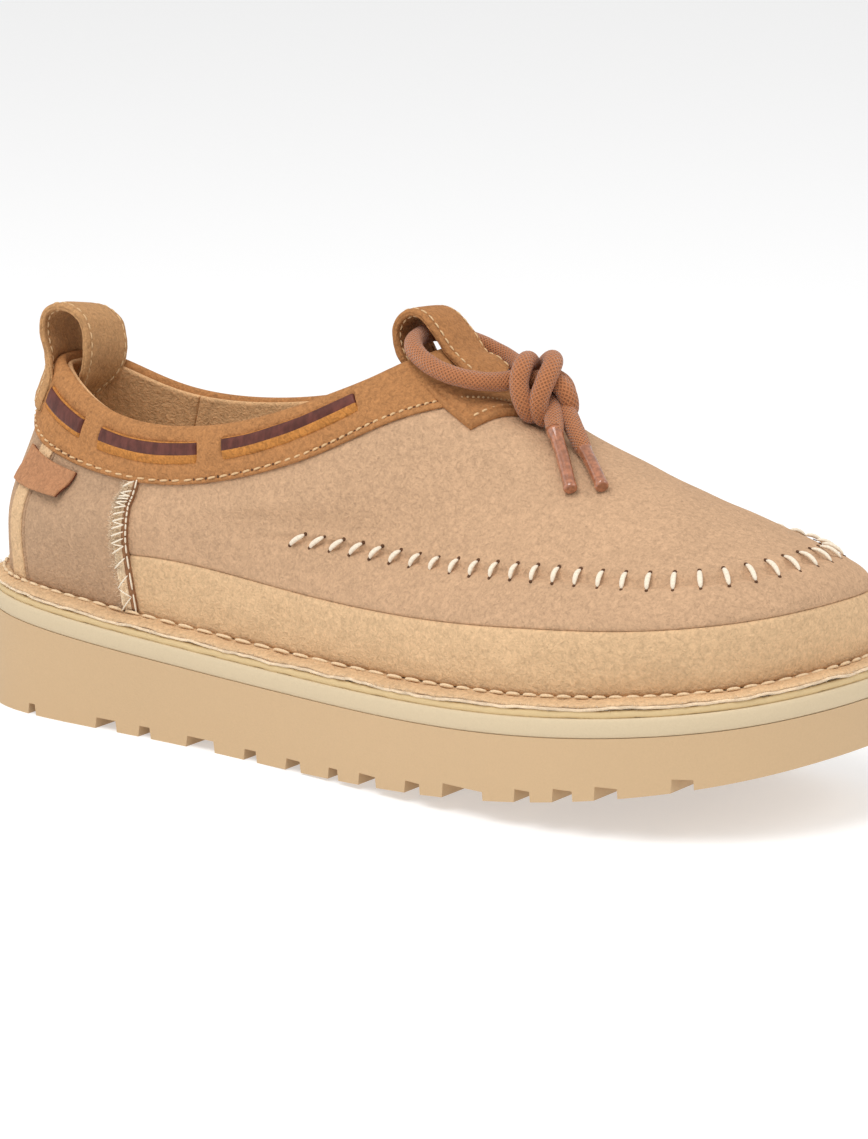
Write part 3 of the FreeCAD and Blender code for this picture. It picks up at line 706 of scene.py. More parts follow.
MEDIAL_TURN = [
    (0.0364, 0.0040, 0.1175), (0.0421, 0.0061, 0.1166), (0.0474, 0.0066, 0.1149),
    (0.0476, 0.0088, 0.1100), (0.0431, 0.0093, 0.1077), (0.0383, 0.0089, 0.1127),
    (0.0402, 0.0082, 0.1190), (0.0447, 0.0052, 0.1220), (0.0478, 0.0004, 0.1211),
    (0.0479, -0.0040, 0.1167), (0.0464, -0.0058, 0.1106), (0.0464, -0.0029, 0.1057),
    (0.0462, 0.0027, 0.1060), (0.0493, 0.0035, 0.1092),
]
MEDIAL_TAIL = [(0.0540, -0.0001, 0.1060), (0.0621, -0.0054, 0.0992)]
CORD_ROUTE = LATERAL_TAIL + LATERAL_TURN + CORD_LOOP + MEDIAL_TURN + MEDIAL_TAIL
AGLET_BOW = 0.35
AGLET_TIPS = {"lateral": (67.2, -22.8, 90.5), "medial": (75.0, -18.6, 91.5)}


def spline_line(name, route):
    """The points along the smooth spline that the route's points control, in metres."""
    data = bpy.data.curves.new(name, "CURVE")
    data.dimensions = "3D"
    spline = data.splines.new("NURBS")
    spline.points.add(len(route) - 1)
    for point, place in zip(spline.points, route):
        point.co = (*place, 1)
    spline.order_u = 3
    spline.use_endpoint_u = True
    spline.resolution_u = 10
    holder = bpy.data.objects.new(name, data)
    bpy.context.scene.collection.objects.link(holder)
    bpy.context.view_layer.update()
    mesh = bpy.data.meshes.new_from_object(holder)
    line = np.array([vertex.co[:] for vertex in mesh.vertices])
    bpy.data.objects.remove(holder)
    bpy.data.meshes.remove(mesh)
    bpy.data.curves.remove(data)
    return line


def carried_frames(line):
    """Directions along, across and up that follow a line without twisting."""
    along = np.gradient(line, axis=0)
    along /= np.linalg.norm(along, axis=1, keepdims=True)
    across = np.zeros_like(line)
    first = np.cross(along[0], (0, 0, 1))
    across[0] = first / np.linalg.norm(first)
    for n in range(1, len(line)):
        moved = across[n - 1] - along[n] * (across[n - 1] @ along[n])
        across[n] = moved / np.linalg.norm(moved)
    return along, across, np.cross(along, across)


def tube(name, line, radii, material, sides=18, body=SHOE, cap=0.6, **kinds):
    """A round tube along a line in millimetres, closed by domed ends, with its own UV map."""
    line = np.asarray(line, float)
    radii = np.broadcast_to(np.asarray(radii, float), (len(line),)).copy()
    along, across, over = carried_frames(line)
    dome = np.radians([85, 60, 30])
    head = [line[0] - along[0] * radii[0] * cap * math.sin(a) for a in dome]
    tail = [line[-1] + along[-1] * radii[-1] * cap * math.sin(a) for a in dome[::-1]]
    places = np.vstack([head, line, tail])
    sizes = np.concatenate([radii[0] * np.cos(dome), radii, radii[-1] * np.cos(dome[::-1])])
    across = np.vstack([across[:1]] * 3 + [across] + [across[-1:]] * 3)
    over = np.vstack([over[:1]] * 3 + [over] + [over[-1:]] * 3)
    turn = np.arange(sides) * 2 * math.pi / sides
    spokes = across[:, None] * np.cos(turn)[None, :, None] + over[:, None] * np.sin(turn)[None, :, None]
    grid = places[:, None] + spokes * sizes[:, None, None]
    count = len(places)
    run = np.concatenate([[0], np.cumsum(np.linalg.norm(np.diff(places, axis=0), axis=1))])
    i, j = np.meshgrid(np.arange(count - 1), np.arange(sides), indexing="ij")
    following = (j + 1) % sides
    here = i * sides
    ahead = here + sides
    faces = np.stack([here + j, here + following, ahead + following, ahead + j], -1)
    u = np.stack([run[i], run[i], run[i + 1], run[i + 1]], -1)
    v = np.stack([j, j + 1, j + 1, j], -1) / sides
    first = list(range(sides))
    faces = faces.reshape(-1, 4).tolist() + [first[::-1], [(count - 1) * sides + k for k in first]]
    corner_uv = np.stack([u, v], -1).reshape(-1, 2)
    corner_uv = np.vstack([corner_uv, np.zeros((sides, 2)), np.full((sides, 2), (run[-1], 0))])
    return new_mesh(name, grid.reshape(-1, 3), faces, material, body=body, corner_uv=corner_uv, **kinds)


def in_drawing(line):
    """Frame metres back to the drawing's millimetres."""
    return np.asarray(line) / MM - CENTRING


def make_aglet(side, start, tip):
    """A clear sleeve shrunk on to the cord's end: a flare over the cord, a waist and a cut tip."""
    start = np.array(start, float)
    tip = np.array(tip, float)
    away = (tip - start) / np.linalg.norm(tip - start)
    length = np.linalg.norm(tip - start)
    # Distances along the sleeve, the last four measured back from its tip, and the radius at each.
    runs = np.array([-1.6, -0.4, 0.8, 2.5, 5, 9, 13] + [length - back for back in (2.4, 1.2, 0.6, 0.15)])
    radii = np.array([2.5, 2.42, 2.2, 2.02, 1.98, 1.95, 1.95, 1.95, 2.02, 2.05, 1.85])
    line = start + away * runs[:, None]
    bow = np.sin(np.clip(runs / length, 0, 1) * math.pi) * AGLET_BOW
    line = line + np.cross(away, (0, 1, 0)) * bow[:, None]
    kinds = {"sides": 24, "body": "cord", "cap": 0.12, "slot": "aglet"}
    piece = tube("aglet_" + side + "_sleeve", line, radii, "aglet", **kinds)
    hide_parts("aglet_" + side)
    return piece


def make_cord():
    line = spline_line("cord_route", CORD_ROUTE)
    steps = np.linalg.norm(np.diff(line, axis=0), axis=1)
    run = np.concatenate([[0], np.cumsum(steps)]) / MM
    radii = np.full(len(line), CORD_DIAMETER / 2)
    place = in_drawing(line)
    near_knot = np.exp(-(np.linalg.norm(place - np.array([45, -1, 114]), axis=1) / 13) ** 4)
    radii *= 1 + 0.07 * near_knot
    radii *= 1 + 0.012 * np.sin(run * 2 * math.pi / 7.3)
    ends = np.minimum(run, run[-1] - run)
    radii *= 0.88 + 0.12 * np.clip(ends / 5, 0, 1)
    cord = tube("cord_run", place, radii, "cord", sides=22, body="cord")
    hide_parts("cord_loop", "cord_knot", "cord_tail_lateral", "cord_tail_medial")
    aglets = [
        make_aglet("lateral", place[0], AGLET_TIPS["lateral"]),
        make_aglet("medial", place[-1], AGLET_TIPS["medial"]),
    ]


make_cord()

# ---------------------------------------------------------------- small repeated shapes


def many(name, shapes, material, body=SHOE, slot=None, replaces=()):
    """One piece from many small shapes, each (points, faces, uv per corner)."""
    points = []
    faces = []
    corners = []
    count = 0
    for shape_points, shape_faces, shape_uv in shapes:
        points.append(shape_points)
        faces += [[count + k for k in face] for face in shape_faces]
        corners.append(shape_uv)
        count += len(shape_points)
    piece = new_mesh(
        name, np.vstack(points), faces, material, body=body, slot=slot, corner_uv=np.vstack(corners)
    )
    for node in replaces:
        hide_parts(node)
    return piece


def select_where(piece, test):
    """Select a piece's points in edit mode by their place."""
    shape = bmesh.from_edit_mesh(piece.data)
    for vertex in shape.verts:
        vertex.select = test(vertex.co)
    shape.select_flush(True)
    shape.select_flush(False)
    bmesh.update_edit_mesh(piece.data)


def as_arrays(piece):
    """A modelled piece's points and faces, for its copies. The piece itself is then put away."""
    points = np.array([vertex.co[:] for vertex in piece.data.vertices])
    faces = [list(face.vertices) for face in piece.data.polygons]
    data = piece.data
    bpy.data.objects.remove(piece)
    bpy.data.meshes.remove(data)
    return points, faces


# Height and swell of the rings of points along a stitch.
STITCH_RINGS = [
    (-1, 0.05), (-0.94, 0.45), (-0.8, 0.78), (-0.4, 0.98), (0.4, 0.98), (0.8, 0.78), (0.94, 0.45), (1, 0.05),
]
STITCH_SIDES = 8


def model_stitch():
    """One plump stitch along Z, two long and as thick as two at its middle."""
    bpy.ops.object.select_all(action="DESELECT")
    bpy.ops.mesh.primitive_cylinder_add(vertices=STITCH_SIDES, radius=1, depth=2, location=(0, 0, 0))
    piece = bpy.context.object
    bpy.ops.object.mode_set(mode="EDIT")
    for height, _ in STITCH_RINGS[1:-1] + [(0, 1)]:
        bpy.ops.mesh.select_all(action="SELECT")
        bpy.ops.mesh.bisect(plane_co=(0, 0, height), plane_no=(0, 0, 1))
    for height, swell in STITCH_RINGS:
        select_where(piece, lambda place, height=height: abs(place.z - height) < 1e-3)
        bpy.ops.transform.resize(value=(swell, swell, 1), center_override=(0, 0, height))
    bpy.ops.object.mode_set(mode="OBJECT")
    return as_arrays(piece)


HOLE_SIDES = 10


def model_needle_hole():
    """One needle hole's painted shade: a dark shallow plug along Z with a slightly raised middle."""
    bpy.ops.object.select_all(action="DESELECT")
    bpy.ops.mesh.primitive_cylinder_add(vertices=HOLE_SIDES, radius=1, depth=0.25, location=(0, 0, -0.125))
    piece = bpy.context.object
    bpy.ops.object.transform_apply(location=True, rotation=False, scale=False)
    bpy.ops.object.mode_set(mode="EDIT")
    select_where(piece, lambda place: place.z > -0.01)
    bpy.ops.mesh.poke(offset=0.03)
    bpy.ops.object.mode_set(mode="OBJECT")
    return as_arrays(piece)


STITCH_POINTS, STITCH_FACES = model_stitch()
HOLE_POINTS, HOLE_FACES = model_needle_hole()


def stitch_corners():
    """Share along and share round of each corner of the stitch's faces."""
    corners = []
    for face in STITCH_FACES:
        turns = [math.atan2(STITCH_POINTS[k][1], STITCH_POINTS[k][0]) / (2 * math.pi) % 1 for k in face]
        if max(turns) - min(turns) > 0.5 and len(face) == 4:
            turns = [turn + 1 if turn < 0.5 else turn for turn in turns]
        corners += [((STITCH_POINTS[k][2] + 1) / 2, turn) for k, turn in zip(face, turns)]
    return np.array(corners)


STITCH_CORNERS = stitch_corners()


def stitch(start, stop, radius, bow=0.0, normal=(0, 0, 1), flat=1.0):
    """A copy of the stitch between two holes, bowed up over the leather."""
    start = np.asarray(start, float)
    along = np.asarray(stop, float) - start
    length = np.linalg.norm(along)
    up = np.asarray(normal, float)
    up = up - along * (up @ along) / length ** 2
    up /= np.linalg.norm(up)
    across = np.cross(along / length, up)
    shares = (STITCH_POINTS[:, 2] + 1) / 2
    lift = np.sin(np.clip(shares, 0, 1) * math.pi) ** 0.7 * bow
    points = start + along * shares[:, None] + across * (STITCH_POINTS[:, 0] * radius)[:, None]
    points = points + up * (lift + STITCH_POINTS[:, 1] * radius * flat)[:, None]
    return points, STITCH_FACES, STITCH_CORNERS * (length, 1)


def pit(centre, normal, radius):
    """A copy of the needle hole's dark disc of painted shade, lying just over the surface."""
    normal = np.asarray(normal, float)
    across = np.cross(normal, (0.3, 0.2, 1))
    across /= np.linalg.norm(across)
    over = np.cross(normal, across)
    points = np.asarray(centre, float) + across * (HOLE_POINTS[:, :1] * radius)
    points = points + over * (HOLE_POINTS[:, 1:2] * radius) + normal * HOLE_POINTS[:, 2:]
    return points, HOLE_FACES, np.zeros((sum(map(len, HOLE_FACES)), 2))


def hair(root, away, length, width, draw):
    """One bent tapering fibre."""
    bend = draw.normal(size=3) * 0.35
    tip_way = away + bend
    tip_way /= np.linalg.norm(tip_way)
    side = np.cross(away, draw.normal(size=3))
    side /= np.linalg.norm(side) + 1e-9
    middle = root + away * length * 0.5
    tip = middle + tip_way * length * 0.55
    up = np.cross(side, away)
    points = np.array([
        root - side * width, root + side * width, root + up * width,
        middle - side * width * 0.7, middle + side * width * 0.7, middle + up * width * 0.7, tip,
    ])
    faces = [[0, 1, 4, 3], [1, 2, 5, 4], [2, 0, 3, 5], [3, 4, 6], [4, 5, 6], [5, 3, 6], [0, 2, 1]]
    return points, faces, np.zeros((12 + 9 + 3, 2))


# ---------------------------------------------------------------- sole unit


def dress(node, material):
    """Give a CAD node a finish."""
    piece = bpy.data.objects[node]
    piece.data.materials.clear()
    piece.data.materials.append(MATERIALS[material])


def make_sole():
    """The outsole, footbed and heel counter keep their CAD shapes; the layers between get soft edges."""
    dress("outsole", "outsole_foam")
    dress("heel_counter", "stiffener")
    dress("footbed", "foam")
    # Midsole: its side swells softly between two crisp lines.
    swell = [
        (0.9, 0.15), (0.25, 0.1), (0.02, 0.5), (-0.12, 1.6), (-0.16, 2.9), (-0.1, 4.3), (0.08, 5.2),
        (0.35, 5.55), (1.2, 5.6), (9, 5.55), (9, 0.2),
    ]
    rim("midsole_side", swell, "midsole_foam", replaces=["midsole"])

    def fray(grid):
        out = ruffle(grid, 9, 0.10, 3) + ruffle(grid, 2.6, 0.08, 4)
        grid[..., 2] += out
        return grid

    board = [(1.5, 5.55), (0.95, 5.6), (0.75, 6.0), (0.7, 6.8), (0.85, 7.5), (1.3, 7.75), (6, 7.8), (6, 5.6)]
    rim("insole_board_edge", board, "board", wobble=fray, replaces=["insole_board"])


def flange_fray(grid):
    grid = grid.copy()
    centre = grid.mean(axis=1, keepdims=True)
    lift = ruffle(centre, 26, 0.28, 11) + ruffle(centre, 7, 0.12, 12)
    grid[..., 2] += lift
    out = ruffle(grid, 5, 0.16, 13) + ruffle(grid, 1.7, 0.1, 14)
    away = grid[..., :2] / np.linalg.norm(grid[..., :2], axis=-1, keepdims=True)
    grid[..., :2] += away * out[..., None]
    return grid


def make_flange():
    """The upper's leather turned out over the sole: suede on top, wool left on its under side."""
    top = [
        (9.4, 10.2), (7.5, 10.35), (5.5, 10.35), (3.6, 10.2), (2.2, 9.95), (1.3, 9.6), (0.85, 9.2),
        (0.8, 8.9), (1.2, 8.75), (3, 8.8), (9.4, 8.9),
    ]
    rim("welt_flange_leather", top, "foxing_suede", count=1000, wobble=flange_fray, replaces=["welt_flange"])
    wool = [(1.6, 8.9), (0.75, 8.8), (0.4, 8.5), (0.5, 8.15), (1.0, 7.9), (2.4, 7.85), (5, 7.9), (5, 8.8)]
    rim("welt_flange_wool", wool, "pale_fleece", count=1000, wobble=flange_fray, slot="fleece")
    draw = np.random.default_rng(21)
    fibres = []
    count = 2600
    stations = draw.uniform(0, STATIONS, count)
    insets = draw.uniform(0.35, 1.1, count)
    flat = sole_edge(stations, insets)
    inner = sole_edge(stations, insets + 1)
    for n in range(count):
        root = np.array([*flat[n], outsole_top(flat[n, 0]) + draw.uniform(8.0, 9.5)])
        away = np.array([*(flat[n] - inner[n]), draw.uniform(-0.5, 0.5)]) + draw.normal(size=3) * 0.5
        away /= np.linalg.norm(away)
        fibres.append(hair(root, away, draw.uniform(0.5, 1.2), 0.06, draw))
    many("welt_flange_fibres", fibres, "pale_fleece", slot="fleece")


# ---------------------------------------------------------------- leather panels of the upper

LATERAL_SEAM = 2.68
MEDIAL_SEAM = STATIONS - LATERAL_SEAM
BACK_STAY = 1.5
# How far up the panels reach under the collar band, and the seams up to its lower edge.
PANEL_TOP = 0.835
SEAM_TOP = 0.825
TOE_STATION = STATIONS / 2


def stretch_near(up, middle, width):
    return np.exp(-((up - middle) / width) ** 2)


def soft_hide(seed, depth=0.22, size=34):
    """Slow unevenness of soft leather that fades out towards the edges."""
    def relief(station, up, flat, from_edge):
        fade = np.clip(from_edge / 9, 0, 1)
        return (ruffle(flat, size, depth, seed) + ruffle(flat, size / 3.1, depth * 0.3, seed + 50)) * fade
    return relief


def vamp_relief(station, up, flat, from_edge):
    """The apron's stitched groove, with a plump roll over it, and the flex lines at the waist."""
    soft = soft_hide(31, 0.28, 40)(station, up, flat, from_edge)
    ends = np.clip((station - 3.6) / 0.6, 0, 1) * np.clip((STATIONS - 3.6 - station) / 0.6, 0, 1)
    groove = -0.75 * stretch_near(up, 0.32, 0.012) + 0.35 * stretch_near(up, 0.352, 0.022)
    groove = groove + 0.3 * stretch_near(up, 0.288, 0.02)
    return soft + groove * ends


def make_panels():
    quarter = {"edge": 1.1, "thick": 1.8}
    front = {"edge": 1.5, "thick": 1.8, "columns": 330}
    sheet_on_upper(
        "heel_strip_leather", -BACK_STAY, BACK_STAY, 0.0, PANEL_TOP, "quarter_suede", columns=70,
        rows=40, relief=soft_hide(5, 0.15), replaces=["heel_strip"], **quarter,
    )
    # A folded border edges the heel strip.
    for side, start, stop in (("lateral", 1.2, 1.47), ("medial", STATIONS - 1.47, STATIONS - 1.2)):
        sheet_on_upper(
            "heel_strip_fold_" + side, start, stop, 0.0, SEAM_TOP, "foxing_suede", out=0.75, thick=1.1,
            edge=0.9, columns=8, rows=60, relief=soft_hide(6, 0.1), slot="quarter_suede",
        )
    sheet_on_upper(
        "lateral_quarter_leather", BACK_STAY, LATERAL_SEAM, 0.0, PANEL_TOP, "quarter_suede", columns=60,
        rows=44, relief=soft_hide(8, 0.35, 26), replaces=["lateral_quarter"], **quarter,
    )
    sheet_on_upper(
        "medial_quarter_leather", MEDIAL_SEAM, STATIONS - BACK_STAY, 0.0, PANEL_TOP, "quarter_suede",
        columns=60, rows=44, relief=soft_hide(9, 0.35, 26), replaces=["medial_quarter"], **quarter,
    )
    sheet_on_upper(
        "vamp_leather", LATERAL_SEAM, MEDIAL_SEAM, FOXING_UP, PANEL_TOP, "vamp_suede", rows=110,
        relief=vamp_relief, replaces=["vamp"], **front,
    )
    sheet_on_upper(
        "foxing_leather", LATERAL_SEAM, MEDIAL_SEAM, 0.0, FOXING_UP, "foxing_suede", rows=34, out=0.1,
        relief=soft_hide(12, 0.3, 30), replaces=["foxing"], **front,
    )


# ---------------------------------------------------------------- side seams

SEAM_WOOL = (-0.07, 0.015)
SEAM_SUEDE = (0.005, 0.058)
SEAM_RUNGS = 15
SEAM_HAIRS = 1500


def seam_fluff(station, up, flat, from_edge):
    return ruffle(flat, 3.2, 0.35, 41) + ruffle(flat, 1.3, 0.2, 42)


def seam_thread(middle, stations, ups, outs, radius, bow=0.0):
    """A thread between two points given by station from the seam's middle, height and distance out."""
    ends = off_upper(middle + np.array(stations), np.array(ups), np.array(outs))
    return ends[0], ends[1], radius, bow


def make_side_seams():
    """The quarters' woolly edges are overlocked together and left showing."""
    for side, middle, seed in (("lateral", LATERAL_SEAM, 45), ("medial", MEDIAL_SEAM, 43)):
        sheet_on_upper(
            side + "_seam_wool", middle + SEAM_WOOL[0], middle + SEAM_WOOL[1], 0.01, SEAM_TOP,
            "seam_fleece", out=1.5, thick=2.8, edge=1.6, columns=12, rows=170, relief=seam_fluff,
            slot="fleece", replaces=[side + "_side_seam"],
        )
        sheet_on_upper(
            side + "_seam_suede", middle + SEAM_SUEDE[0], middle + SEAM_SUEDE[1], 0.01, SEAM_TOP,
            "seam_suede", out=1.2, thick=1.9, edge=0.9, columns=8, rows=120,
            relief=soft_hide(43, 0.12, 6), slot="quarter_suede",
        )
        threads = []
        for n in range(SEAM_RUNGS):
            up = 0.03 + 0.78 * n / (SEAM_RUNGS - 1)
            rung = [seam_thread(middle, (-0.04, 0.055), (up - 0.02, up + 0.018), (2.95, 2.2), 0.26, 0.3)]
            if n % 3 == 0:
                ups = (up + 0.036, up + 0.018)
                rung.append(seam_thread(middle, (-0.03, 0.055), ups, (2.95, 2.15), 0.2, 0.3))
            rung.append(seam_thread(middle, (0.06, 0.06), (up - 0.022, up + 0.024), (1.5, 1.5), 0.28))
            normal = upper_normal(middle, up)
            threads += [stitch(a, b, radius, bow=bow, normal=normal) for a, b, radius, bow in rung]
        many(side + "_seam_overlock", threads, "thread")
        draw = np.random.default_rng(seed)
        fibres = []
        for _ in range(SEAM_HAIRS):
            up = draw.uniform(0.01, 0.82)
            station = middle + draw.uniform(-0.075, 0.01)
            normal = upper_normal(station, up)
            root = off_upper(station, up, draw.uniform(0.9, 2.2))
            backward = upper_point(station - 0.05, up) - upper_point(station, up)
            backward /= np.linalg.norm(backward)
            away = normal * 0.5 + backward * draw.uniform(0.2, 1.2) + draw.normal(size=3) * 0.45
            away /= np.linalg.norm(away)
            fibres.append(hair(root, away, draw.uniform(0.6, 1.7), 0.075, draw))
        many(side + "_seam_fibres", fibres, "seam_fleece", slot="fleece")


# ---------------------------------------------------------------- collar, facing, lace and lining

# Start and stop station of each stretch of lace that shows, on the lateral side.
LACE_SHOWS = [(1.0, 1.84), (2.13, 3.4), (3.7, 5.66)]
LACE_UP = 0.935
COLLAR_SWELL = 0.75


def from_heel(station):
    """Stations from the heel, counted either way round."""
    return np.minimum(np.mod(station, STATIONS), STATIONS - np.mod(station, STATIONS))


def lace_shown(station):
    """1 where the lace lies outside the collar, 0 where it runs inside, soft between."""
    near = from_heel(station)
    shown = np.zeros_like(near)
    for start, stop in LACE_SHOWS:
        edge = np.clip(np.minimum(near - start, stop - near) / 0.05 + 0.5, 0, 1)
        shown = np.maximum(shown, edge * edge * (3 - 2 * edge))
    return shown


def lace_inside(station):
    """1 where the hidden lace pads the collar from behind."""
    near = from_heel(station)
    span = np.clip((LACE_SHOWS[-1][1] + 0.5 - near) / 0.3, 0, 1) * np.clip((near - 0.2) / 0.3, 0, 1)
    return (1 - lace_shown(station)) * span


# The collar band's section, as (share of the way up, millimetres out): up its face, over the topline
# and down inside.
COLLAR_SECTION = [
    (0.832, -0.3), (0.8235, 0.1), (0.822, 0.6), (0.826, 1.05), (0.833, 1.22), (0.838, 1.1), (0.843, 1.0),
    (0.848, 1.12), (0.857, 1.3), (0.87, 1.38), (0.885, 1.4), (0.897, 1.4), (0.905, 1.4), (0.914, 1.4),
    (0.925, 1.4), (0.935, 1.4), (0.945, 1.4), (0.956, 1.4), (0.965, 1.4), (0.974, 1.38), (0.983, 1.3),
    (0.992, 1.1), (1.0, 0.65), (1.006, 0.0), (1.008, -0.8), (1.004, -1.6), (0.994, -2.3), (0.98, -2.7),
    (0.95, -2.2), (0.9, -1.2), (0.86, -0.8),
]


def make_collar():
    columns = 1200
    stations = np.arange(columns) * STATIONS / columns
    shown = lace_shown(stations)
    hidden = lace_inside(stations)
    grid = np.zeros((columns, len(COLLAR_SECTION), 3))
    for k, (up, out) in enumerate(COLLAR_SECTION):
        lift = np.zeros(columns)
        if out > 0.9 and up > 0.86:
            swell = hidden * stretch_near(up, LACE_UP, 0.034) - shown * stretch_near(up, LACE_UP, 0.03)
            lift = swell * COLLAR_SWELL
        place = upper_point(stations, np.full(columns, up))
        fade = 1.0 if out > 0.5 else 0.0
        lift = lift + fade * (ruffle(place, 30, 0.14, 61) + ruffle(place, 8, 0.07, 62))
        grid[:, k] = off_upper(stations, np.full(columns, up), out + lift)
    uv = grid_uv(grid)
    faces = grid_faces(columns, len(COLLAR_SECTION), closed_rows=True, closed_columns=True)
    collar = new_mesh("collar_band_leather", grid.reshape(-1, 3), faces, "collar_suede", uv=uv)
    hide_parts("collar_band")


def lace_run(name, start, stop, mirror):
    """One shown stretch of lace: a waxed face over a suede core, diving in at both ends."""
    count = 90
    end = np.linspace(0, 0.06, 10)[:-1]
    share = np.concatenate([end, np.linspace(0.06, 0.94, count), 1 - end[::-1]])
    stations = start - 0.02 + (stop - start + 0.04) * share
    if mirror:
        stations = STATIONS - stations
    ends = np.minimum(share, 1 - share) * (stop - start)
    dive = np.clip(1 - ends / 0.045, 0, 1) ** 2 * 2.4
    half = 0.021 if start < 1.5 else 0.027
    # The first run is turned edge up; the others show their suede edge below.
    low_edge = -half + (0.003 if start < 1.5 else 0.017)

    def loft(label, rows, material, slot):
        grid = np.zeros((len(stations), len(rows), 3))
        for k, (up, out) in enumerate(rows):
            place = np.full(len(stations), LACE_UP + up)
            waver = ruffle(upper_point(stations, place), 17, 0.1, 71)
            grid[:, k] = off_upper(stations, place + waver * 0.006, out + waver * 0.5 - dive)
        uv = grid_uv(grid)
        faces = grid_faces(len(stations), len(rows), closed_columns=True)
        count_rows = len(rows)
        faces.append(list(range(count_rows))[::-1])
        faces.append([(len(stations) - 1) * count_rows + k for k in range(count_rows)])
        if not mirror:
            faces = [face[::-1] for face in faces]
        return new_mesh(label, grid.reshape(-1, 3), faces, material, uv=uv, slot=slot)

    core = [
        (-half - 0.006, 0.75), (-half - 0.01, 1.2), (-half - 0.006, 1.75), (low_edge, 2.3),
        (half - 0.003, 2.02), (half + 0.002, 1.85), (half + 0.002, 1.2), (half, 0.75),
    ]
    face = [
        (low_edge, 1.95), (low_edge - 0.001, 2.2), (low_edge + 0.004, 2.42), (low_edge + 0.02, 2.5),
        (half - 0.006, 2.4), (half - 0.0005, 2.2), (half - 0.001, 1.9),
    ]
    body = loft(name + "_core", core, "lace_suede", "lace_leather")
    loft(name + "_face", face, "lace_leather", "lace_leather")
    return body


def make_lace():
    first = None
    for side in ("lateral", "medial"):
        for n, (start, stop) in enumerate(LACE_SHOWS, start=1):
            piece = lace_run(f"whip_lace_{side}_{n}", start, stop, side == "medial")
            first = first or piece
    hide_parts("whip_lace")


def make_linings():
    """A suede facing behind the collar, and wool below it."""
    facings = [
        ("heel", -2.2, 2.2), ("lateral", 2.2, 5.5), ("tongue", 5.5, 12.5), ("medial", 12.5, STATIONS - 2.2),
    ]
    for label, start, stop in facings:
        sheet_on_upper(
            label + "_facing", start, stop, 0.80, 1.0, "facing_suede", out=-2.5, thick=1.6, edge=1.0,
            columns=120, rows=26, slot="collar_suede",
        )

    walls = [
        ("heel_lining", -2.2, 2.2), ("lateral_lining", 2.2, 5.5), ("forefoot_lining", 5.5, 12.5),
        ("medial_lining", 12.5, STATIONS - 2.2),
    ]
    for label, start, stop in walls:
        wool = sheet_on_upper(
            label + "_wool", start, stop, 0.02, 0.82, "fleece", out=-4.6, thick=3.4, edge=2.0,
            columns=150, rows=90, slot="fleece", replaces=[label],
        )
        # The pile faces the foot, so its bumps go inwards.
        points = np.array([v.co[:] for v in wool.data.vertices]) / MM
        bumps = ruffle(points, 7, 0.45, 83) + ruffle(points, 2.6, 0.3, 84)
        normals = np.array([v.normal[:] for v in wool.data.vertices])
        points += normals * bumps[:, None]
        wool.data.vertices.foreach_set("co", (points * MM).ravel())
        wool.data.update()
    draw = np.random.default_rng(85)
    fibres = []
    for _ in range(5200):
        station = draw.uniform(-6, 6)
        up = 0.79 + draw.normal() * 0.022
        normal = upper_normal(station, up)
        root = off_upper(station, up, -4.4 - draw.uniform(0, 1.4))
        away = -normal + draw.normal(size=3) * 0.6 + np.array([0, 0, 0.5])
        away /= np.linalg.norm(away)
        fibres.append(hair(root, away, draw.uniform(1.2, 3.4), 0.09, draw))
    many("lining_top_fibres", fibres, "pale_fleece", slot="fleece")


def make_footbed():
    """A woolly pad on the foam footbed, crowned in the middle and pulled down at its edge."""
    rows = 26
    columns = 260
    stations = np.arange(columns) * STATIONS / columns
    shares = np.linspace(0, 1, rows) ** 0.8
    rim_line = sole_edge(stations, np.full(columns, 14.4))
    centre = np.stack([rim_line[:, 0] * 0.86, rim_line[:, 1] * 0.0], -1)
    grid = np.zeros((columns, rows, 3))
    for k, share in enumerate(shares):
        flat = rim_line * (1 - share) + centre * share
        grid[:, k, :2] = flat
        crown = 3.4 * (1 - (1 - min(share / 0.16, 1)) ** 2) ** 0.5
        grid[:, k, 2] = outsole_top(flat[:, 0]) + 14.95 + crown
    bumps = ruffle(grid, 8, 0.4, 91) + ruffle(grid, 2.8, 0.3, 92)
    bumps[:, 0] = 0
    grid[..., 2] += bumps * 0.8
    points = grid.reshape(-1, 3)
    under = grid[:, 0] - np.array([0, 0, 0.05])
    faces = grid_faces(columns, rows, closed_rows=True)
    base = len(points)
    points = np.vstack([points, under])
    for i in range(columns):
        j = (i + 1) % columns
        faces.append([i * rows, j * rows, base + j, base + i][::-1])
    faces.append([base + i for i in range(columns)])
    pad = new_mesh("footbed_wool", points, faces, "fleece", slot="fleece")
    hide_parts("footbed_fleece")


# ---------------------------------------------------------------- stitches

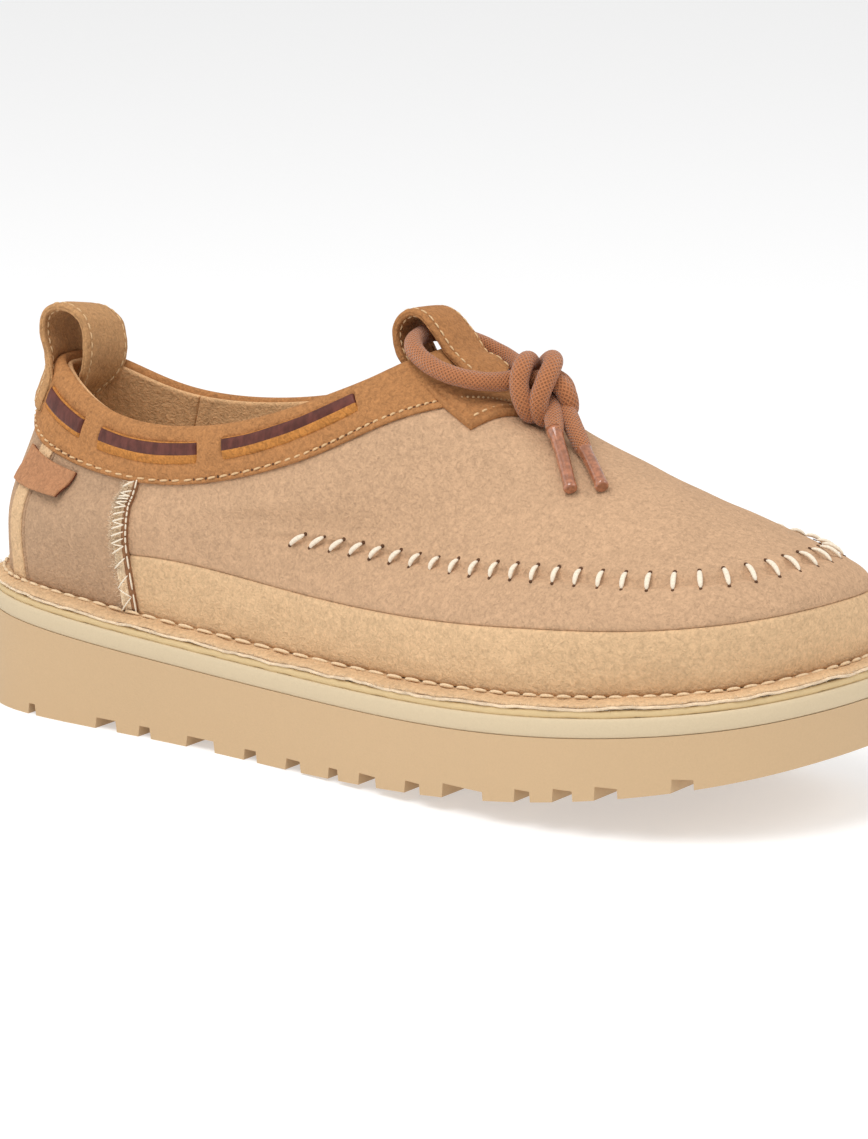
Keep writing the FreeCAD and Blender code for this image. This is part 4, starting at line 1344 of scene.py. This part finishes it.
def make_stitches():
    apron = []
    holes = []
    count = 48
    run_stations = np.linspace(4.0, STATIONS - 4.0, 800)
    groove = upper_point(run_stations, 0.32)
    run = np.concatenate([[0], np.cumsum(np.linalg.norm(np.diff(groove, axis=0), axis=1))])
    for n in range(count + 1):
        station = float(np.interp(run[-1] * n / count, run, run_stations))
        lean = 0.055 * max(-1.0, min(1.0, (TOE_STATION - station) / 1.5))
        normal = upper_normal(station, 0.32)
        low = off_upper(station - lean, 0.296, 0.35)
        high = off_upper(station + lean, 0.346, 0.45)
        apron.append(stitch(low, high, 0.78, bow=1.05, normal=normal, flat=0.75))
        away = (high - low) / np.linalg.norm(high - low)
        holes.append(pit(low - away * 0.3 + normal * 0.1, normal, 0.5))
        holes.append(pit(high + away * 0.3 + normal * 0.1, normal, 0.6))
    many("apron_stitches_thread", apron, "thread", replaces=["apron_stitches"])
    # The dark discs at the apron's needle holes are painted shade.
    many("apron_stitch_holes", holes, "painted_hole_shade", slot="vamp_suede")
    welt = []
    loops = 120
    for n in range(loops):
        station = STATIONS * n / loops
        ends = off_upper(station + np.array([-0.062, 0.062]), np.full(2, 0.004), np.full(2, 1.5))
        ends = ends + np.array([0, 0, 0.35])
        normal = upper_normal(station, 0.01) * 0.7 + np.array([0, 0, 0.7])
        welt.append(stitch(ends[0], ends[1], 0.5, bow=0.6, normal=normal))
    many("welt_stitches_thread", welt, "welt_thread", slot="thread", replaces=["welt_stitches"])
    row = []
    pits = []
    total = 132
    for n in range(total + 1):
        station = 0.25 + (STATIONS - 0.5) * n / total
        normal = upper_normal(station, 0.84)
        ends = off_upper(
            np.array([station - 0.042, station + 0.042]), np.array([0.8395, 0.8425]), np.array([1.0, 1.0])
        )
        row.append(stitch(ends[0], ends[1], 0.33, bow=0.36, normal=normal))
        hole = off_upper(station + 0.066, 0.841, 1.05)
        pits.append(pit(hole, normal, 0.42))
    many("collar_stitches_thread", row, "tan_thread", slot="thread", replaces=["collar_stitches"])
    # The dark discs at the collar's needle holes are painted shade.
    many("collar_stitch_holes", pits, "painted_hole_shade", slot="collar_suede")


# ---------------------------------------------------------------- loops, patch and label

STRAP_SECTION = [
    (-1.0, -0.1), (-1.0, 0.35), (-0.97, 0.8), (-0.93, 1.05), (-0.88, 1.15), (-0.84, 1.02), (-0.8, 1.02),
    (-0.76, 1.14), (-0.5, 1.2), (-0.2, 1.22), (0.2, 1.22), (0.5, 1.2), (0.76, 1.14), (0.8, 1.02),
    (0.84, 1.02), (0.88, 1.15), (0.93, 1.05), (0.97, 0.8), (1.0, 0.35), (1.0, -0.1), (0.985, -0.18),
    (1.0, -0.26), (1.0, -0.6), (0.97, -0.95), (0.92, -1.15), (0.85, -1.1), (0.8, -1.0), (0.75, -1.12),
    (0.3, -1.2), (-0.3, -1.2), (-0.75, -1.12), (-0.8, -1.0), (-0.85, -1.1), (-0.92, -1.15),
    (-0.97, -0.95), (-1.0, -0.6), (-1.0, -0.26), (-0.985, -0.18),
]


def smooth_rows(rows, count):
    """Rows of (near, middle, far) points turned into a dense smooth run of rows."""
    rows = np.array(rows, float)
    steps = np.linalg.norm(np.diff(rows[:, 1], axis=0), axis=1)
    knots = np.concatenate([[0], np.cumsum(steps)])
    places = np.linspace(0, knots[-1], count)
    slopes = np.gradient(rows.reshape(len(rows), -1), knots, axis=0).reshape(rows.shape)
    out = np.zeros((count, 3, 3))
    for k, place in enumerate(places):
        n = min(max(np.searchsorted(knots, place, side="right") - 1, 0), len(knots) - 2)
        gap = knots[n + 1] - knots[n]
        t = (place - knots[n]) / gap
        out[k] = (
            rows[n] * (2 * t ** 3 - 3 * t ** 2 + 1) + rows[n + 1] * (3 * t ** 2 - 2 * t ** 3)
            + slopes[n] * gap * (t ** 3 - 2 * t ** 2 + t) + slopes[n + 1] * gap * (t ** 3 - t ** 2)
        )
    return out


def strap_place(rows, share):
    """Points across the strap at shares from -1 (near edge) to 1 (far edge)."""
    near, middle, far = rows[:, 0], rows[:, 1], rows[:, 2]
    return middle + (far - near) * (share / 2) + (near + far - 2 * middle) * (share ** 2 / 2)


def strap_normals(rows, share):
    along = np.gradient(strap_place(rows, share), axis=0)
    across = strap_place(rows, share + 0.05) - strap_place(rows, share - 0.05)
    normal = np.cross(across, along)
    return normal / np.linalg.norm(normal, axis=1, keepdims=True)


def make_strap(name, rows, material, pitch, replaces, seed, outward):
    """A folded suede strap with a stitched row along each edge, bending at its sewn ends."""
    rows = smooth_rows(rows, 170)
    grid = np.zeros((len(rows), len(STRAP_SECTION), 3))
    for k, (share, height) in enumerate(STRAP_SECTION):
        grid[:, k] = strap_place(rows, share) + strap_normals(rows, share) * height * outward
    waver = ruffle(grid, 9, 0.14, seed) + ruffle(grid, 3.1, 0.06, seed + 1)
    grid += waver[..., None] * np.array([0.6, 0.2, 0.6])
    uv = grid_uv(grid)
    faces = grid_faces(len(rows), len(STRAP_SECTION), closed_columns=True)
    last = (len(rows) - 1) * len(STRAP_SECTION)
    faces.append(list(range(len(STRAP_SECTION))))
    faces.append([last + k for k in range(len(STRAP_SECTION))][::-1])
    strap = new_mesh(name, grid.reshape(-1, 3), faces, material, body=None, uv=uv)
    for node in replaces:
        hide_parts(node)
    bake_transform(strap)
    threads = []
    for share in (-0.82, 0.82):
        line = strap_place(rows, share)
        normal = strap_normals(rows, share) * outward
        run = np.concatenate([[0], np.cumsum(np.linalg.norm(np.diff(line, axis=0), axis=1))])
        count = int(run[-1] / pitch)
        for n in range(count):
            for face in (1, -1):
                ends = []
                for part in (0.12, 0.88):
                    at = (n + part) * pitch
                    flat = np.array([np.interp(at, run, line[:, k]) for k in range(3)])
                    lift = np.array([np.interp(at, run, normal[:, k]) for k in range(3)])
                    ends.append(flat + lift * (1.04 * face))
                threads.append(stitch(ends[0], ends[1], 0.26, bow=0.16, normal=lift * face))
    sewing = many(name + "_stitches", threads, "tan_thread", body=None, slot="thread")
    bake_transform(sewing)
    return strap


def on_upper_row(half, middle, up, out):
    stations = np.array([middle - half, middle, middle + half])
    return off_upper(stations, np.full(3, up), np.full(3, float(out))).tolist()


LOOP_PITCH = 2.7


def make_loops():
    heel = [on_upper_row(-0.95, 0, up, out) for up, out in ((0.885, 2.5), (0.92, 2.5), (0.96, 2.6))]
    heel += [
        [(-129.6, -12, 106.6), (-131.8, 0, 108.2), (-130.2, 12, 106.6)],
        [(-131.4, -12, 113.2), (-132.4, 0, 113.4), (-131.6, 12, 111.6)],
        [(-130.4, -12, 119.0), (-131.2, 0, 117.8), (-130.6, 12, 115.2)],
        [(-126.8, -12, 121.6), (-127.6, 0, 120.2), (-128.0, 12, 117.5)],
        [(-121.6, -12, 121.7), (-122.8, 0, 119.9), (-123.5, 12, 117.2)],
        [(-117.0, -12, 119.2), (-118.4, 0, 117.2), (-119.6, 12, 114.7)],
        [(-114.8, -12, 114.2), (-116.3, 0, 112.2), (-117.9, 12, 109.7)],
        [(-114.6, -12, 108.5), (-116.6, 0, 106.6), (-118.0, 12, 104)],
        [(-116.2, -11, 102.6), (-119.4, 0, 101.4), (-118.9, 11, 99.8)],
    ]
    heel += [on_upper_row(-0.8, 0, up, -7.4) for up in (0.9, 0.84)]
    make_strap(
        "heel_loop_strap", heel, "loop_suede", LOOP_PITCH,
        ["heel_loop", "heel_loop_tabs"], 101, -1,
    )
    tongue = [on_upper_row(1.05, TOE_STATION, up, out) for up, out in ((0.895, 3.0), (0.925, 3.1))]
    tongue += [
        [(15.4, -9, 122.2), (17.0, 0, 121.8), (17.5, 9, 118.6)],
        [(10.6, -9, 128.0), (11.6, 0, 127.6), (12.3, 9, 125.0)],
        [(6.8, -9, 131.6), (7.2, 0, 131.2), (7.2, 9, 129.5)],
        [(2.8, -9, 132.6), (2.6, 0, 132.0), (2.2, 9, 130.8)],
        [(-1.0, -9, 130.6), (-1.4, 0, 130.0), (-1.6, 9, 129.0)],
        [(-3.0, -9, 126.6), (-3.3, 0, 126.0), (-3.3, 9, 125.3)],
        [(-2.4, -9, 121.8), (-2.6, 0, 121.7), (-2.4, 9, 121.0)],
        [(0.2, -9, 117.4), (0.2, 0, 117.6), (0.3, 9, 116.8)],
    ]
    tongue += [on_upper_row(1.0, TOE_STATION, up, -5.6) for up in (0.95, 0.89)]
    make_strap(
        "tongue_loop_strap", tongue, "patch_suede", LOOP_PITCH,
        ["tongue_loop"], 111, 1,
    )


PATCH_HALF = 2.2


def patch_front(station):
    return 0.8 - 0.06 * ((station - TOE_STATION) / PATCH_HALF) ** 2


def patch_relief(station, up, flat, from_edge):
    """A raised border, pressed down along its stitched line, round a hollowed middle."""
    border = 0.55 * np.clip(from_edge / 1.2, 0, 1) * np.clip((6 - from_edge) / 2.5, 0, 1)
    pressed = -0.55 * np.exp(-((from_edge - 2.3) / 0.55) ** 2)
    hollow = -0.5 * np.clip((from_edge - 4) / 4, 0, 1)
    return border + pressed + hollow + ruffle(flat, 7, 0.12, 121)


def make_patch():
    sheet_on_upper(
        "tongue_patch_leather", TOE_STATION - PATCH_HALF, TOE_STATION + PATCH_HALF, patch_front, 0.9,
        "patch_suede", out=1.7, thick=1.9, edge=1.2, columns=150, rows=50, relief=patch_relief,
        replaces=["tongue_patch"],
    )
    threads = []
    stations = np.linspace(TOE_STATION - PATCH_HALF + 0.2, TOE_STATION + PATCH_HALF - 0.2, 400)
    line = off_upper(stations, patch_front(stations) + 0.021, np.full(400, 1.72))
    run = np.concatenate([[0], np.cumsum(np.linalg.norm(np.diff(line, axis=0), axis=1))])
    pitch = 2.9
    for n in range(int(run[-1] / pitch)):
        ends = [[np.interp((n + part) * pitch, run, line[:, k]) for k in range(3)] for part in (0.12, 0.88)]
        station = np.interp((n + 0.5) * pitch, run, stations)
        threads.append(stitch(*ends, 0.35, bow=0.3, normal=upper_normal(station, 0.8)))
    many("tongue_patch_stitches", threads, "tan_thread", slot="thread")


def label_lift(station, up):
    """The label's lower front corner curls up."""
    corner = np.clip((station - 1.04) / 0.94, 0, 1) * np.clip((0.79 - up) / 0.29, 0, 1)
    return 1.75 + 2.0 * corner ** 1.8


def make_label():
    sheet_on_upper(
        "label_leather", 1.04, 1.98, 0.5, 0.79, "label_suede", out=label_lift, thick=1.1, edge=0.6,
        columns=40, rows=30, body="label", slot="patch_suede", replaces=["label_tab"],
    )
    sheet_on_upper(
        "label_back", 1.045, 1.975, 0.502, 0.788, "label_back",
        out=lambda station, up: label_lift(station, up) - 0.85, thick=0.8, edge=0.4, columns=40, rows=30,
        body="label", slot="patch_suede",
    )


make_sole()
make_flange()
make_panels()
make_side_seams()
make_collar()
make_lace()
make_linings()
make_footbed()
make_stitches()
make_loops()
make_patch()
make_label()
